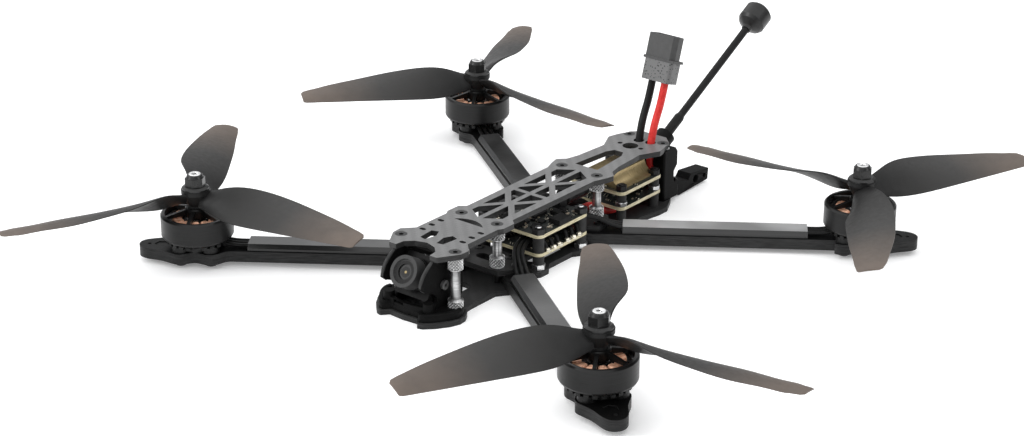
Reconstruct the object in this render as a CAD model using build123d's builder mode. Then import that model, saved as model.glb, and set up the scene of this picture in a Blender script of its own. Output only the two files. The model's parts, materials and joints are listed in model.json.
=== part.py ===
from build123d import *
import math
import os

os.makedirs("parts", exist_ok=True)

# A long-range racing quadcopter: a flat carbon body, four straight arms, four motors with
# three-bladed propellers, a tilting camera in the nose (towards -Y) and, at the back, an
# antenna and a standing battery lead. Millimetres, +Z up, origin under the bottom plate at the
# middle of the four motor axes.

# ---------------------------------------------------------------- driving dimensions
MOTOR_X = 111.4
MOTOR_Y = 97.3
ARM_ANGLE = 35.3
ARM_WIDTH = 13.0
ARM_T = 5.0

BOTTOM_T = 2.5
CLAMP_T = 2.5
TOP_T = 2.5
TOP_Z = 27.5

STACK_Y = 2.0
STACK_PITCH = 30.5
BOARD = 36.0
BOARD_T = 1.6
ESC_Z = 9.0
FLIGHT_Z = 17.8

VIDEO_PITCH = 25.5
VIDEO_Y = 64.0
VIDEO_LOW_Z = 9.5
VIDEO_HIGH_Z = 16.9

PROP_R = 88.9
PROP_PITCH = 95.0
PROP_Z = 30.3
HUB_Z = 26.0
HUB_TOP_Z = 34.5
HUB_R = 6.4
SHAFT_R = 2.0
THREAD_R = 2.5

BELL_R = 16.1
BELL_INNER_R = 14.7
BELL_Z = 12.8
BELL_TOP_Z = 23.5
STATOR_R = 12.8
CORE_Z = 13.3
CORE_TOP_Z = 19.3

CAMERA_PIVOT = (0, -73.3, 15.2)
CAMERA_TILT = 30.0
WALL_IN = 9.7
WALL_OUT = 11.4

SCREW_R = 1.5
HOLE_R = 1.6
SINK_R = 2.9
SINK_T = 1.5
WIRE_D = 1.8
LEAD_D = 3.6

# ---------------------------------------------------------------- derived places
CLAMP_Z = BOTTOM_T + ARM_T
ARM_TOP = CLAMP_Z
ARM_ROOT_Y = MOTOR_Y - MOTOR_X * math.tan(math.radians(ARM_ANGLE))
ARM_REACH = MOTOR_X / math.cos(math.radians(ARM_ANGLE))
ESC_TOP = ESC_Z + BOARD_T

CORNERS = {
    "front_left": (-1, -1),
    "front_right": (1, -1),
    "rear_left": (-1, 1),
    "rear_right": (1, 1),
}
# Turn of each propeller about its own shaft, and its direction seen from above
BLADE_PHASE = {"front_left": 7.4, "front_right": 7.0, "rear_left": 112.9, "rear_right": 64.6}
SPIN = {"front_left": 1, "front_right": -1, "rear_left": -1, "rear_right": 1}

FRONT_POSTS = [(15.1, -69.5), (-15.1, -69.5)]
SHORT_POSTS = [(10, -35.5), (-10, -35.5), (10, 35.9), (-10, 35.9)]
REAR_POSTS = [(9.7, 87.5), (-9.7, 87.5)]
STACK_HOLES = [
    (sx * STACK_PITCH / 2, STACK_Y + sy * STACK_PITCH / 2) for sx in (-1, 1) for sy in (-1, 1)
]
VIDEO_HOLES = [
    (sx * VIDEO_PITCH / 2, VIDEO_Y + sy * VIDEO_PITCH / 2) for sx in (-1, 1) for sy in (-1, 1)
]
ARM_BOLT_STEPS = (11.0, 19.5)


# ---------------------------------------------------------------- helpers
def finish(piece, name):
    """Label a finished sub-part and write its STEP file."""
    piece.part.label = name
    export_step(piece.part, f"parts/{name}.step")


def arm_axes(corner):
    """Motor centre, outward unit vector and sideways unit vector of one arm."""
    sx, sy = CORNERS[corner]
    angle = math.radians(ARM_ANGLE)
    motor = Vector(sx * MOTOR_X, sy * MOTOR_Y, 0)
    out = Vector(sx * math.cos(angle), sy * math.sin(angle), 0)
    side = Vector(-out.Y, out.X, 0)
    return motor, out, side


def arm_plane(corner, z):
    """Plane at the motor axis whose local x runs outward along the arm."""
    motor, out, _ = arm_axes(corner)
    return Plane(origin=(motor.X, motor.Y, z), x_dir=(out.X, out.Y, 0), z_dir=(0, 0, 1))


def arm_bolts():
    """Places of the bolts that clamp the arm roots."""
    places = []
    angle = math.radians(ARM_ANGLE)
    for sx, sy in CORNERS.values():
        for step in ARM_BOLT_STEPS:
            x = step * math.cos(angle)
            y = ARM_ROOT_Y + step * math.sin(angle)
            places.append((sx * x, sy * y))
    return places


def mirrored(points):
    """Close a half outline, given from front to back at +X, with its mirror image."""
    other = [(-x, y) for x, y in reversed(points) if abs(x) > 1e-6]
    return points + other


def turned(profile):
    """A solid of revolution about Z from a closed profile of (radius, height) points."""
    with BuildPart() as piece:
        with BuildSketch(Plane.XZ):
            with BuildLine():
                Polyline(*profile, close=True)
            make_face()
        revolve(axis=Axis.Z)
    return piece.part


def corner_radii(points):
    """Radius of the arc at each inner corner of a wire's route."""
    radii = []
    for a, b, c in zip(points, points[1:], points[2:]):
        first = Vector(*b) - Vector(*a)
        second = Vector(*c) - Vector(*b)
        turn = math.radians(first.get_angle(second))
        radii.append(0.45 * min(first.length, second.length) / math.tan(turn / 2))
    return radii


def tube(points, diameter):
    """A round wire: straight runs joined by tangent arcs."""
    start = Vector(*points[0])
    with BuildPart() as wire:
        with BuildLine() as path:
            FilletPolyline(*points, radius=corner_radii(points))
        with BuildSketch(Plane(origin=start, z_dir=Vector(*points[1]) - start)):
            Circle(diameter / 2)
        sweep(path=path.line)
    length = sum(edge.length for edge in path.edges())
    section = math.pi * diameter**2 / 4
    return wire.part, length, wire.part.volume / (section * length) - 1


def report_wire(name, points, diameter, length, error):
    tightest = min(corner_radii(points))
    print(f"{name}: length {length:.1f}, tightest radius {tightest:.1f}"
          f" = {tightest / diameter:.1f} diameters, volume error {error:.2%}")


# ---------------------------------------------------------------- frame plates
BOTTOM_HALF = [
    (0, -86.6), (7.6, -86.0), (10.4, -89.2), (12.8, -88.5), (16.8, -84.6), (20.4, -79.2),
    (22, -74.6), (21.6, -70.8), (19.4, -67), (16.5, -65), (16, -60), (16, -44), (20.5, -38), (20.5, -26),
    (17, -20), (19, -16), (19, -10.5), (16, -6.5), (16, 10), (19, 14.5), (19, 20), (17, 24),
    (20.5, 28), (20.5, 38), (16, 44), (16.5, 62), (18.5, 74), (18.5, 80), (14, 89), (10, 94),
    (0, 94),
]
# Lightening slots of the bottom plate: centre x, centre y, length along Y, width
BOTTOM_SLOTS = [(0, -53, 16, 9), (6.5, 2, 24, 7), (-6.5, 2, 24, 7), (0, 50, 12, 8), (0, 70, 14, 8)]
NOSE_SLOTS = [(5.5, -77, 8, 3), (-5.5, -77, 8, 3)]

with BuildPart() as bottom_plate:
    with BuildSketch():
        with BuildLine():
            Polyline(*mirrored(BOTTOM_HALF), close=True)
        make_face()
        fillet(vertices(), 1.0)
        for x, y, length, width in BOTTOM_SLOTS + NOSE_SLOTS:
            with Locations((x, y)):
                SlotOverall(length, width, rotation=90, mode=Mode.SUBTRACT)
        with Locations(*FRONT_POSTS, *SHORT_POSTS, *REAR_POSTS, *STACK_HOLES, *VIDEO_HOLES):
            Circle(HOLE_R, mode=Mode.SUBTRACT)
        with Locations(*arm_bolts()):
            Circle(HOLE_R, mode=Mode.SUBTRACT)
    extrude(amount=BOTTOM_T)
finish(bottom_plate, "bottom_plate")

CLAMP_HALF = [(0, 21.5), (11, 21.5), (18.5, 27), (18.5, 33), (13.8, 40), (0, 40)]

with BuildPart() as middle_plates:
    for sy in (-1, 1):
        with BuildSketch(Plane.XY.offset(CLAMP_Z)):
            with BuildLine():
                Polyline(*[(x, sy * y) for x, y in mirrored(CLAMP_HALF)], close=True)
            make_face()
            fillet(vertices(), 1.2)
            with Locations(*[p for p in SHORT_POSTS + arm_bolts() if p[1] * sy > 0]):
                Circle(HOLE_R, mode=Mode.SUBTRACT)
            with Locations((0, sy * 31)):
                SlotOverall(10, 5, mode=Mode.SUBTRACT)
        extrude(amount=CLAMP_T)
finish(middle_plates, "middle_plates")

TOP_HALF = [
    (0, -70), (5.5, -71.7), (8.9, -75), (9.4, -79.4), (13.3, -79.4), (18.9, -70.5),
    (19.2, -65.5), (14.4, -60.5), (14.4, -40.5), (15.8, -38.3), (15.8, -31), (12.8, -28.3),
    (13.3, 29.4), (15.5, 35.5), (16.5, 40), (13, 43.5), (11.5, 50), (10.3, 68), (15, 78),
    (14.4, 81), (11.7, 89.5), (7, 94), (0, 94),
]
NOSE_WINDOW = [(7.2, -58.9), (3.9, -57.8), (2, -61.7), (3.3, -67.8), (6.4, -67.2)]
REAR_SLOT = [(6.3, 41), (4.5, 62), (2.5, 66), (-2.5, 66), (-4.5, 62), (-6.3, 41)]
RAIL_IN = 9.0
RIB_HALF = 1.3
# One quarter of the truss: the side window and the end window that its diagonal divides
SIDE_WINDOW = [(RAIL_IN, 6.8), (RAIL_IN, 22.2), (2.6, 14.5)]
INNER_WINDOW = [(RIB_HALF, 1.2), (8.4, 1.2), (8.4, 3.2), (RIB_HALF, 11.8)]
END_WINDOW = [(RIB_HALF, 17.2), (8.4, 25.8), (8.6, 30), (RIB_HALF, 35)]
STRAP_EYES = [(sx * 11.2, y) for sx in (-1, 1) for y in (-48, -54, -60)]
REAR_EYE = (0, 75, 3.7)
ACCESSORY_HOLES = [(6, 75), (-6, 75)]
ACCESSORY_R = 1.2
LEAD_EXITS = {"black": (-1.1, 83.2), "red": (4.9, 84.2)}

sink_cone = turned([
    (0, TOP_Z + TOP_T - SINK_T - 0.1), (HOLE_R, TOP_Z + TOP_T - SINK_T - 0.1),
    (HOLE_R, TOP_Z + TOP_T - SINK_T), (SINK_R, TOP_Z + TOP_T), (0, TOP_Z + TOP_T),
])

with BuildPart() as top_plate:
    with BuildSketch(Plane.XY.offset(TOP_Z)):
        with BuildLine():
            Polyline(*mirrored(TOP_HALF), close=True)
        make_face()
        fillet(vertices().filter_by(lambda v: v.Y > -69.9 or abs(v.X) > 10), 1.0)
        for sx in (-1, 1):
            with BuildLine():
                Polyline(*[(sx * x, y) for x, y in NOSE_WINDOW], close=True)
            make_face(mode=Mode.SUBTRACT)
            for sy in (-1, 1):
                for window in (SIDE_WINDOW, INNER_WINDOW, END_WINDOW):
                    with BuildLine():
                        Polyline(*[(sx * x, sy * y) for x, y in window], close=True)
                    make_face(mode=Mode.SUBTRACT)
        with BuildLine():
            Line((-8, -42.8), (8, -42.8))
            ThreePointArc((8, -42.8), (0, -39.3), (-8, -42.8))
        make_face(mode=Mode.SUBTRACT)
        with BuildLine():
            Polyline(*REAR_SLOT, close=True)
        make_face(mode=Mode.SUBTRACT)
        with Locations(*STRAP_EYES):
            SlotOverall(3.2, 2, mode=Mode.SUBTRACT)
        with Locations(REAR_EYE[:2]):
            Circle(REAR_EYE[2], mode=Mode.SUBTRACT)
        with Locations(*ACCESSORY_HOLES):
            Circle(ACCESSORY_R, mode=Mode.SUBTRACT)
        with Locations(*LEAD_EXITS.values()):
            Circle(LEAD_D / 2 + 0.7, mode=Mode.SUBTRACT)
        with Locations(*FRONT_POSTS, *SHORT_POSTS, *REAR_POSTS):
            Circle(HOLE_R, mode=Mode.SUBTRACT)
    extrude(amount=TOP_T)
    with Locations(*FRONT_POSTS, *SHORT_POSTS, *REAR_POSTS):
        add(sink_cone, mode=Mode.SUBTRACT)
finish(top_plate, "top_plate")


# ---------------------------------------------------------------- arms
MOTOR_HOLE = 19.0 / 2 / math.sqrt(2)
MOTOR_HOLES = [(sx * MOTOR_HOLE, sy * MOTOR_HOLE) for sx in (-1, 1) for sy in (-1, 1)]
ARM_TIP = 26.5
# Upper edge of the motor pad, outward from where the bar widens
PAD_EDGE = [
    (-16, 6.5), (-11, 9.4), (-7, 11.4), (-3.2, 10.2), (0, 9.2), (3.2, 10.2), (7, 11.4),
    (11, 9.8), (17, 6.9), (23.5, 4.8), (ARM_TIP, 0),
]


def build_arm(corner):
    """A straight arm with its motor pad, cut off square to the body's middle plane."""
    with BuildPart() as arm:
        with BuildSketch(arm_plane(corner, BOTTOM_T)):
            with BuildLine():
                Line((-ARM_REACH - 12, ARM_WIDTH / 2), PAD_EDGE[0])
                Spline(*PAD_EDGE, tangents=((1, 0), (0, -1)))
                Spline(*[(s, -t) for s, t in reversed(PAD_EDGE)], tangents=((0, -1), (-1, 0)))
                Line((-16, -ARM_WIDTH / 2), (-ARM_REACH - 12, -ARM_WIDTH / 2))
                Line((-ARM_REACH - 12, -ARM_WIDTH / 2), (-ARM_REACH - 12, ARM_WIDTH / 2))
            make_face()
            with Locations(*MOTOR_HOLES):
                Circle(HOLE_R, mode=Mode.SUBTRACT)
            Circle(3.5, mode=Mode.SUBTRACT)
            with Locations((ARM_TIP - 4.6, 0)):
                Circle(0.9, mode=Mode.SUBTRACT)
            with Locations(*[(step - ARM_REACH, 0) for step in ARM_BOLT_STEPS]):
                Circle(HOLE_R, mode=Mode.SUBTRACT)
        extrude(amount=ARM_T)
        with BuildSketch(arm_plane(corner, ARM_TOP)):
            with Locations((16.5, 0)):
                RegularPolygon(3.2, 6)
        extrude(amount=-0.4, mode=Mode.SUBTRACT)
        sx = CORNERS[corner][0]
        split(bisect_by=Plane.YZ, keep=Keep.TOP if sx > 0 else Keep.BOTTOM)
    return arm


for corner in CORNERS:
    finish(build_arm(corner), f"arm_{corner}")


# ---------------------------------------------------------------- posts and screws
KNURL_R = 3.45
WAIST_R = 2.1


def standoff(low, high, knurl):
    """A round threaded post with a knurled collar at each end."""
    return turned([
        (SCREW_R, low), (KNURL_R - 0.3, low), (KNURL_R, low + 0.4), (KNURL_R, low + knurl),
        (WAIST_R, low + knurl + 0.8), (WAIST_R, high - knurl - 0.8), (KNURL_R, high - knurl),
        (KNURL_R, high - 0.4), (KNURL_R - 0.3, high), (SCREW_R, high),
    ])


with BuildPart() as front_standoffs:
    with Locations(*FRONT_POSTS):
        add(standoff(BOTTOM_T, TOP_Z, 5.6))
finish(front_standoffs, "front_standoffs")

with BuildPart() as short_standoffs:
    with Locations(*SHORT_POSTS):
        add(standoff(CLAMP_Z + CLAMP_T, TOP_Z, 4.6))
    with Locations(*REAR_POSTS):
        add(standoff(BOTTOM_T, TOP_Z, 5.6))
finish(short_standoffs, "short_standoffs")

HEAD_R = 2.8
SOCKET_R = 1.15
BOLT_HEAD_T = 0.8


def sunk_screw(surface, length):
    """A countersunk screw pointing down, with its head just under the plane z = surface."""
    head_top = surface - 0.2
    with BuildPart() as screw:
        add(turned([
            (0, surface - length), (SCREW_R, surface - length), (SCREW_R, surface - SINK_T),
            (SINK_R - 0.3, head_top), (0, head_top),
        ]))
        with BuildSketch(Plane.XY.offset(head_top)):
            RegularPolygon(SOCKET_R, 6)
        extrude(amount=-1.0, mode=Mode.SUBTRACT)
    return screw.part


def flush_screw(length, head_r=1.55):
    """A screw that points up from the underside of the bottom plate, head flush with it."""
    with BuildPart() as screw:
        add(turned([(0, 0), (head_r, 0), (SCREW_R, 0.2), (SCREW_R, length), (0, length)]))
        with BuildSketch():
            RegularPolygon(0.9, 6)
        extrude(amount=1.0, mode=Mode.SUBTRACT)
    return screw.part


def bolt_head(low):
    """A low round head with a hexagonal socket, standing on the plane z = low."""
    with BuildPart() as head:
        add(turned([
            (0, low), (2.2, low), (2.2, low + 0.3), (1.6, low + BOLT_HEAD_T),
            (0, low + BOLT_HEAD_T),
        ]))
        with BuildSketch(Plane.XY.offset(low + BOLT_HEAD_T)):
            RegularPolygon(0.9, 6)
        extrude(amount=-0.6, mode=Mode.SUBTRACT)
    return head.part


with BuildPart() as frame_screws:
    with Locations(*FRONT_POSTS, *SHORT_POSTS, *REAR_POSTS):
        add(sunk_screw(TOP_Z + TOP_T, 10.5))
    with Locations(*FRONT_POSTS, *REAR_POSTS):
        add(flush_screw(7))
    with Locations(*SHORT_POSTS):
        add(flush_screw(CLAMP_Z + CLAMP_T + 5))
    with Locations(*arm_bolts()):
        add(flush_screw(CLAMP_Z + CLAMP_T))
        add(bolt_head(CLAMP_Z + CLAMP_T))
finish(frame_screws, "frame_screws")

STACK_TOP = FLIGHT_Z + BOARD_T
VIDEO_TOP = VIDEO_HIGH_Z + BOARD_T
NUT_T = 2.4


def hex_nut(low, across, bore):
    """A plain nut standing on the plane z = low."""
    with BuildPart() as nut:
        with BuildSketch(Plane.XY.offset(low)):
            RegularPolygon(across / 2, 6, major_radius=False)
            Circle(bore, mode=Mode.SUBTRACT)
        extrude(amount=NUT_T)
    return nut.part


with BuildPart() as board_screws:
    with Locations(*STACK_HOLES):
        add(flush_screw(STACK_TOP + NUT_T + 0.6))
        add(hex_nut(STACK_TOP, 5.5, SCREW_R))
        add(hex_nut(BOTTOM_T, 5.5, SCREW_R))
    with Locations(*VIDEO_HOLES):
        add(flush_screw(VIDEO_TOP + NUT_T + 0.6))
        add(hex_nut(VIDEO_TOP, 4.6, SCREW_R))
finish(board_screws, "board_screws")

GROMMET_R = 2.6


def spacer(low, high, radius=GROMMET_R):
    """A plain round spacer around a board screw."""
    return turned([(SCREW_R, low), (radius, low), (radius, high), (SCREW_R, high)])


with BuildPart() as board_spacers:
    with Locations(*STACK_HOLES):
        add(spacer(BOTTOM_T + NUT_T, ESC_Z))
        add(spacer(ESC_TOP, FLIGHT_Z))
    with Locations(*VIDEO_HOLES):
        add(spacer(BOTTOM_T, VIDEO_LOW_Z, 2.3))
        add(spacer(VIDEO_LOW_Z + BOARD_T, VIDEO_HIGH_Z, 2.3))
finish(board_spacers, "board_spacers")


# ---------------------------------------------------------------- electronics
def board(holes, centre_y, width, depth, low):
    """A bare circuit board with rounded corners and its mounting holes."""
    with BuildPart() as plate:
        with BuildSketch(Plane.XY.offset(low)):
            with Locations((0, centre_y)):
                RectangleRounded(width, depth, 3.0)
            with Locations(*holes):
                Circle(SCREW_R, mode=Mode.SUBTRACT)
        extrude(amount=BOARD_T)
    return plate


finish(board(STACK_HOLES, STACK_Y, BOARD, BOARD, ESC_Z), "esc_board")
finish(board(STACK_HOLES, STACK_Y, BOARD, BOARD, FLIGHT_Z), "flight_board")

VIDEO_WIDTH = 31.0
VIDEO_DEPTH = 32.0
finish(board(VIDEO_HOLES, VIDEO_Y, VIDEO_WIDTH, VIDEO_DEPTH, VIDEO_LOW_Z), "video_board")
finish(board(VIDEO_HOLES, VIDEO_Y, VIDEO_WIDTH, VIDEO_DEPTH, VIDEO_HIGH_Z), "video_amp_board")

PAD_STEP = 4.2
PAD_OFFSETS = [sy * (2.9 + PAD_STEP * k) for sy in (-1, 1) for k in range(3)]
PAD_X = BOARD / 2 - 1.6
LEAD_PAD_X = 4.6
FLIGHT_TOP = FLIGHT_Z + BOARD_T

with BuildPart() as board_parts:
    # Solder pads for the motor wires, along both sides of the speed controller board
    with Locations(*[(sx * PAD_X, STACK_Y + y, ESC_TOP) for sx in (-1, 1) for y in PAD_OFFSETS]):
        Box(2.8, 2.6, 0.5, align=(Align.CENTER, Align.CENTER, Align.MIN))
    # Power transistors, in two rows
    with Locations((0, STACK_Y, ESC_TOP)):
        with GridLocations(15.0, 5.2, 2, 6):
            Box(4.6, 4.6, 1.0, align=(Align.CENTER, Align.CENTER, Align.MIN))
    # Battery pads
    with Locations(*[(sx * LEAD_PAD_X, STACK_Y + 15.6, ESC_TOP) for sx in (-1, 1)]):
        Box(4.2, 3.4, 0.5, align=(Align.CENTER, Align.CENTER, Align.MIN))
    # Controller chip, sensor, memory and plugs on the flight board
    for x, y, width, depth, height in [
        (0, 0, 9, 9, 1.4), (8.5, -5, 3.4, 3.4, 1.0), (-8.5, 4, 5, 4, 1.2), (0, -14.6, 10, 5, 3.4),
        (0, 14.4, 12, 5, 3.4), (-15.6, 0, 4, 9, 3.2), (8.2, 7, 4, 4, 1.6),
    ]:
        with Locations((x, STACK_Y + y, FLIGHT_TOP)):
            Box(width, depth, height, align=(Align.CENTER, Align.CENTER, Align.MIN))
    with Locations((15.0, STACK_Y + 0.5, FLIGHT_TOP)):
        Box(6.0, 8.4, 2.6, align=(Align.CENTER, Align.CENTER, Align.MIN))
finish(board_parts, "board_parts")

SINK_HALF = 13.0
SINK_TOP_HALF = 7.0
SINK_Y = (51.0, 77.0)

with BuildPart() as video_heatsink:
    low = VIDEO_TOP
    with BuildSketch(Plane.XZ.offset(-SINK_Y[0])):
        with BuildLine():
            Line((-SINK_HALF, low), (SINK_HALF, low))
            Line((SINK_HALF, low), (SINK_HALF, low + 1.0))
            ThreePointArc((SINK_HALF, low + 1.0), (8.6, low + 2.6), (SINK_TOP_HALF, low + 6.0))
            Line((SINK_TOP_HALF, low + 6.0), (-SINK_TOP_HALF, low + 6.0))
            ThreePointArc((-SINK_TOP_HALF, low + 6.0), (-8.6, low + 2.6), (-SINK_HALF, low + 1.0))
            Line((-SINK_HALF, low + 1.0), (-SINK_HALF, low))
        make_face()
    extrude(amount=SINK_Y[0] - SINK_Y[1])
    with Locations(*[(x, y, 0) for x, y in VIDEO_HOLES]):
        Cylinder(3.1, 80, mode=Mode.SUBTRACT)
finish(video_heatsink, "video_heatsink")

with BuildPart() as capacitor:
    with BuildSketch(Plane.XZ.offset(-23.5)):
        with Locations((0, 20.6)):
            Circle(4.0)
    extrude(amount=-15.0)
    fillet(capacitor.edges().filter_by(GeomType.CIRCLE), 0.5)
finish(capacitor, "capacitor")


# ---------------------------------------------------------------- motors, the still half
BASE_T = 2.8
VENT_Z = 10.4
VENT_TOP = 11.6
VENT_R = 13.8
TUBE_R = 5.3
BEARING_R = 4.5
BEARING_T = 4.0
BEARING_BORE = SHAFT_R + 0.03
TUBE_TOP = 20.4
TEETH = 12
COIL_IN = 6.9
COIL_OUT = 10.8
SHOE_R = 11.2


def motor_places():
    """Every motor centre, turned so that local x runs outward along its arm."""
    places = []
    for corner in CORNERS:
        motor, out, _ = arm_axes(corner)
        places.append(Location((motor.X, motor.Y, 0), (0, 0, math.degrees(math.atan2(out.Y, out.X)))))
    return places


with BuildPart() as base:
    with BuildSketch(Plane.XY.offset(ARM_TOP)):
        Circle(9.2)
        with Locations(*MOTOR_HOLES):
            Circle(3.9)
        Circle(BEARING_R, mode=Mode.SUBTRACT)
    extrude(amount=BASE_T)
    with BuildSketch(Plane.XY.offset(VENT_Z - 0.2)):
        Circle(VENT_R)
        Circle(BEARING_R, mode=Mode.SUBTRACT)
        with PolarLocations(VENT_R, 24):
            Rectangle(4.2, 1.5, mode=Mode.SUBTRACT)
        with Locations((-10.5, 0)):
            Rectangle(9.0, 9.6, mode=Mode.SUBTRACT)
    extrude(amount=VENT_TOP - VENT_Z + 0.2)
    with BuildSketch(Plane.XY.offset(ARM_TOP)):
        Circle(TUBE_R)
        Circle(BEARING_R, mode=Mode.SUBTRACT)
    extrude(amount=TUBE_TOP - ARM_TOP)
    with Locations(*[(x, y, ARM_TOP) for x, y in MOTOR_HOLES]):
        Cylinder(SCREW_R, 2.4, align=(Align.CENTER, Align.CENTER, Align.MIN), mode=Mode.SUBTRACT)
motor_base = base.part

with BuildPart() as motor_bases:
    with Locations(*motor_places()):
        add(motor_base)
finish(motor_bases, "motor_bases")

with BuildPart() as core:
    with BuildSketch(Plane.XY.offset(CORE_Z)):
        Circle(COIL_IN)
        with PolarLocations(STATOR_R - 3.6, TEETH):
            Rectangle(6.0, 1.7)
        with BuildSketch(mode=Mode.PRIVATE) as shoes:
            Circle(STATOR_R)
            Circle(SHOE_R, mode=Mode.SUBTRACT)
            with PolarLocations(STATOR_R, TEETH, start_angle=180 / TEETH):
                Rectangle(6.0, 0.9, mode=Mode.SUBTRACT)
        add(shoes.sketch)
        Circle(TUBE_R, mode=Mode.SUBTRACT)
    extrude(amount=CORE_TOP_Z - CORE_Z)
stator_core = core.part

with BuildPart() as stator_cores:
    with Locations(*motor_places()):
        add(stator_core)
finish(stator_cores, "stator_cores")

COIL_LOW = CORE_Z - 1.2
COIL_HIGH = CORE_TOP_Z + 2.0

with BuildPart() as coil:
    for radius, width in ((COIL_IN, 3.3), (COIL_OUT, 5.3)):
        with BuildSketch(Plane.YZ.offset(radius)):
            with Locations((0, (COIL_LOW + COIL_HIGH) / 2)):
                RectangleRounded(width, COIL_HIGH - COIL_LOW, 0.6)
    loft()
    with BuildSketch(Plane.YZ.offset(COIL_IN)):
        with Locations((0, (CORE_Z + CORE_TOP_Z) / 2)):
            Rectangle(1.7, CORE_TOP_Z - CORE_Z)
    extrude(amount=COIL_OUT - COIL_IN, mode=Mode.SUBTRACT)
one_coil = coil.part

with BuildPart() as motor_coils:
    with PolarLocations(0, TEETH):
        add(one_coil)
coil_ring = motor_coils.part

with BuildPart() as windings:
    with Locations(*motor_places()):
        add(coil_ring)
finish(windings, "windings")

with BuildPart() as motor_bearings:
    with Locations(*motor_places()):
        for low in (ARM_TOP + 0.6, TUBE_TOP - BEARING_T):
            add(turned([
                (BEARING_BORE, low), (BEARING_R, low), (BEARING_R, low + BEARING_T),
                (BEARING_BORE, low + BEARING_T),
            ]))
finish(motor_bearings, "motor_bearings")

MOTOR_SCREW_HEAD = 1.5

with BuildPart() as motor_screws:
    with Locations(*motor_places()):
        with Locations(*MOTOR_HOLES):
            add(turned([
                (0, BOTTOM_T - MOTOR_SCREW_HEAD), (HEAD_R - 0.4, BOTTOM_T - MOTOR_SCREW_HEAD),
                (HEAD_R, BOTTOM_T - 0.9), (HEAD_R, BOTTOM_T), (SCREW_R, BOTTOM_T),
                (SCREW_R, ARM_TOP + 2.2), (0, ARM_TOP + 2.2),
            ]))
finish(motor_screws, "motor_screws")


# ---------------------------------------------------------------- motors, the turning half
MAGNETS = 14
MAGNET_IN = 13.15
MAGNET_Z = 13.6
MAGNET_TOP = 20.6
SPOKES = 6
SPOKE_WIDTH = 1.6
BELL_HUB_R = 5.0

with BuildPart() as one_spoke:
    with BuildSketch(Plane.XZ):
        with BuildLine():
            Polyline((4, 22.6), (4, 25.4), (5.6, 25.2), (14.3, 23.1), (14.3, 22.0), close=True)
        make_face()
    extrude(amount=SPOKE_WIDTH / 2, both=True)
spoke = one_spoke.part

with BuildPart() as one_bell:
    add(turned([
        (BELL_INNER_R, BELL_Z), (BELL_R - 0.5, BELL_Z), (BELL_R, BELL_Z + 0.9),
        (BELL_R, BELL_TOP_Z - 0.7), (BELL_R - 0.7, BELL_TOP_Z), (BELL_INNER_R - 0.5, BELL_TOP_Z),
        (BELL_INNER_R - 0.9, BELL_TOP_Z - 0.8), (BELL_INNER_R - 0.9, MAGNET_TOP + 0.9),
        (BELL_INNER_R, MAGNET_TOP + 0.5),
    ]))
    with PolarLocations(0, SPOKES):
        add(spoke)
    add(turned([
        (0, TUBE_TOP + 0.7), (BELL_HUB_R - 0.8, TUBE_TOP + 0.7), (BELL_HUB_R, TUBE_TOP + 1.4),
        (BELL_HUB_R, HUB_Z - 0.4), (BELL_HUB_R - 0.4, HUB_Z), (0, HUB_Z),
    ]))
    Cylinder(SHAFT_R, 100, mode=Mode.SUBTRACT)
bell = one_bell.part

with BuildPart() as one_magnet:
    with BuildSketch(Plane.XY.offset(MAGNET_Z)):
        Circle(BELL_INNER_R)
        Circle(MAGNET_IN, mode=Mode.SUBTRACT)
        with Locations((BELL_INNER_R, 0)):
            Rectangle(8.0, 5.2, mode=Mode.INTERSECT)
    extrude(amount=MAGNET_TOP - MAGNET_Z)
magnet = one_magnet.part

motor_shaft = turned([
    (0, ARM_TOP + 0.2), (SHAFT_R - 0.3, ARM_TOP + 0.2), (SHAFT_R, ARM_TOP + 0.5), (SHAFT_R, HUB_Z),
    (THREAD_R, HUB_Z), (THREAD_R, 40.4), (THREAD_R - 0.6, 41.0), (0, 41.0),
])

NUT_TOP = 41.5
NUT_FLANGE_R = 6.0

with BuildPart() as one_nut:
    add(turned([
        (THREAD_R, HUB_TOP_Z), (NUT_FLANGE_R, HUB_TOP_Z), (NUT_FLANGE_R, HUB_TOP_Z + 0.8),
        (4.9, HUB_TOP_Z + 1.6), (THREAD_R, HUB_TOP_Z + 1.6),
    ]))
    with BuildSketch(Plane.XY.offset(HUB_TOP_Z + 1.6)):
        RegularPolygon(4.0, 6, major_radius=False)
        Circle(THREAD_R, mode=Mode.SUBTRACT)
    extrude(amount=3.9)
    add(turned([
        (THREAD_R, HUB_TOP_Z + 5.5), (3.95, HUB_TOP_Z + 5.5), (3.4, NUT_TOP - 0.3),
        (3.1, NUT_TOP), (THREAD_R, NUT_TOP),
    ]))
prop_nut = one_nut.part

# Blade sections: radius, chord, thickness, shift of the chord's middle towards the leading edge
BLADE = [
    (4.0, 9.0, 3.4, 0.0),
    (9.0, 11.5, 2.9, 0.2),
    (16.0, 16.0, 2.4, 0.8),
    (26.0, 20.5, 2.0, 1.4),
    (38.0, 22.0, 1.7, 1.6),
    (52.0, 20.8, 1.5, 1.2),
    (66.0, 18.0, 1.3, 0.4),
    (78.0, 14.6, 1.1, -0.6),
    (84.0, 12.6, 1.0, -1.2),
]
# The squared-off tip: straight between these sections
BLADE_TIP = [
    BLADE[-1],
    (87.6, 11.0, 0.8, -1.7),
    (PROP_R, 8.4, 0.7, -2.2),
]
ROOT_TWIST = 42.0
EDGE_SHARE = 0.24
CAMBER_SHARE = 0.045


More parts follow.
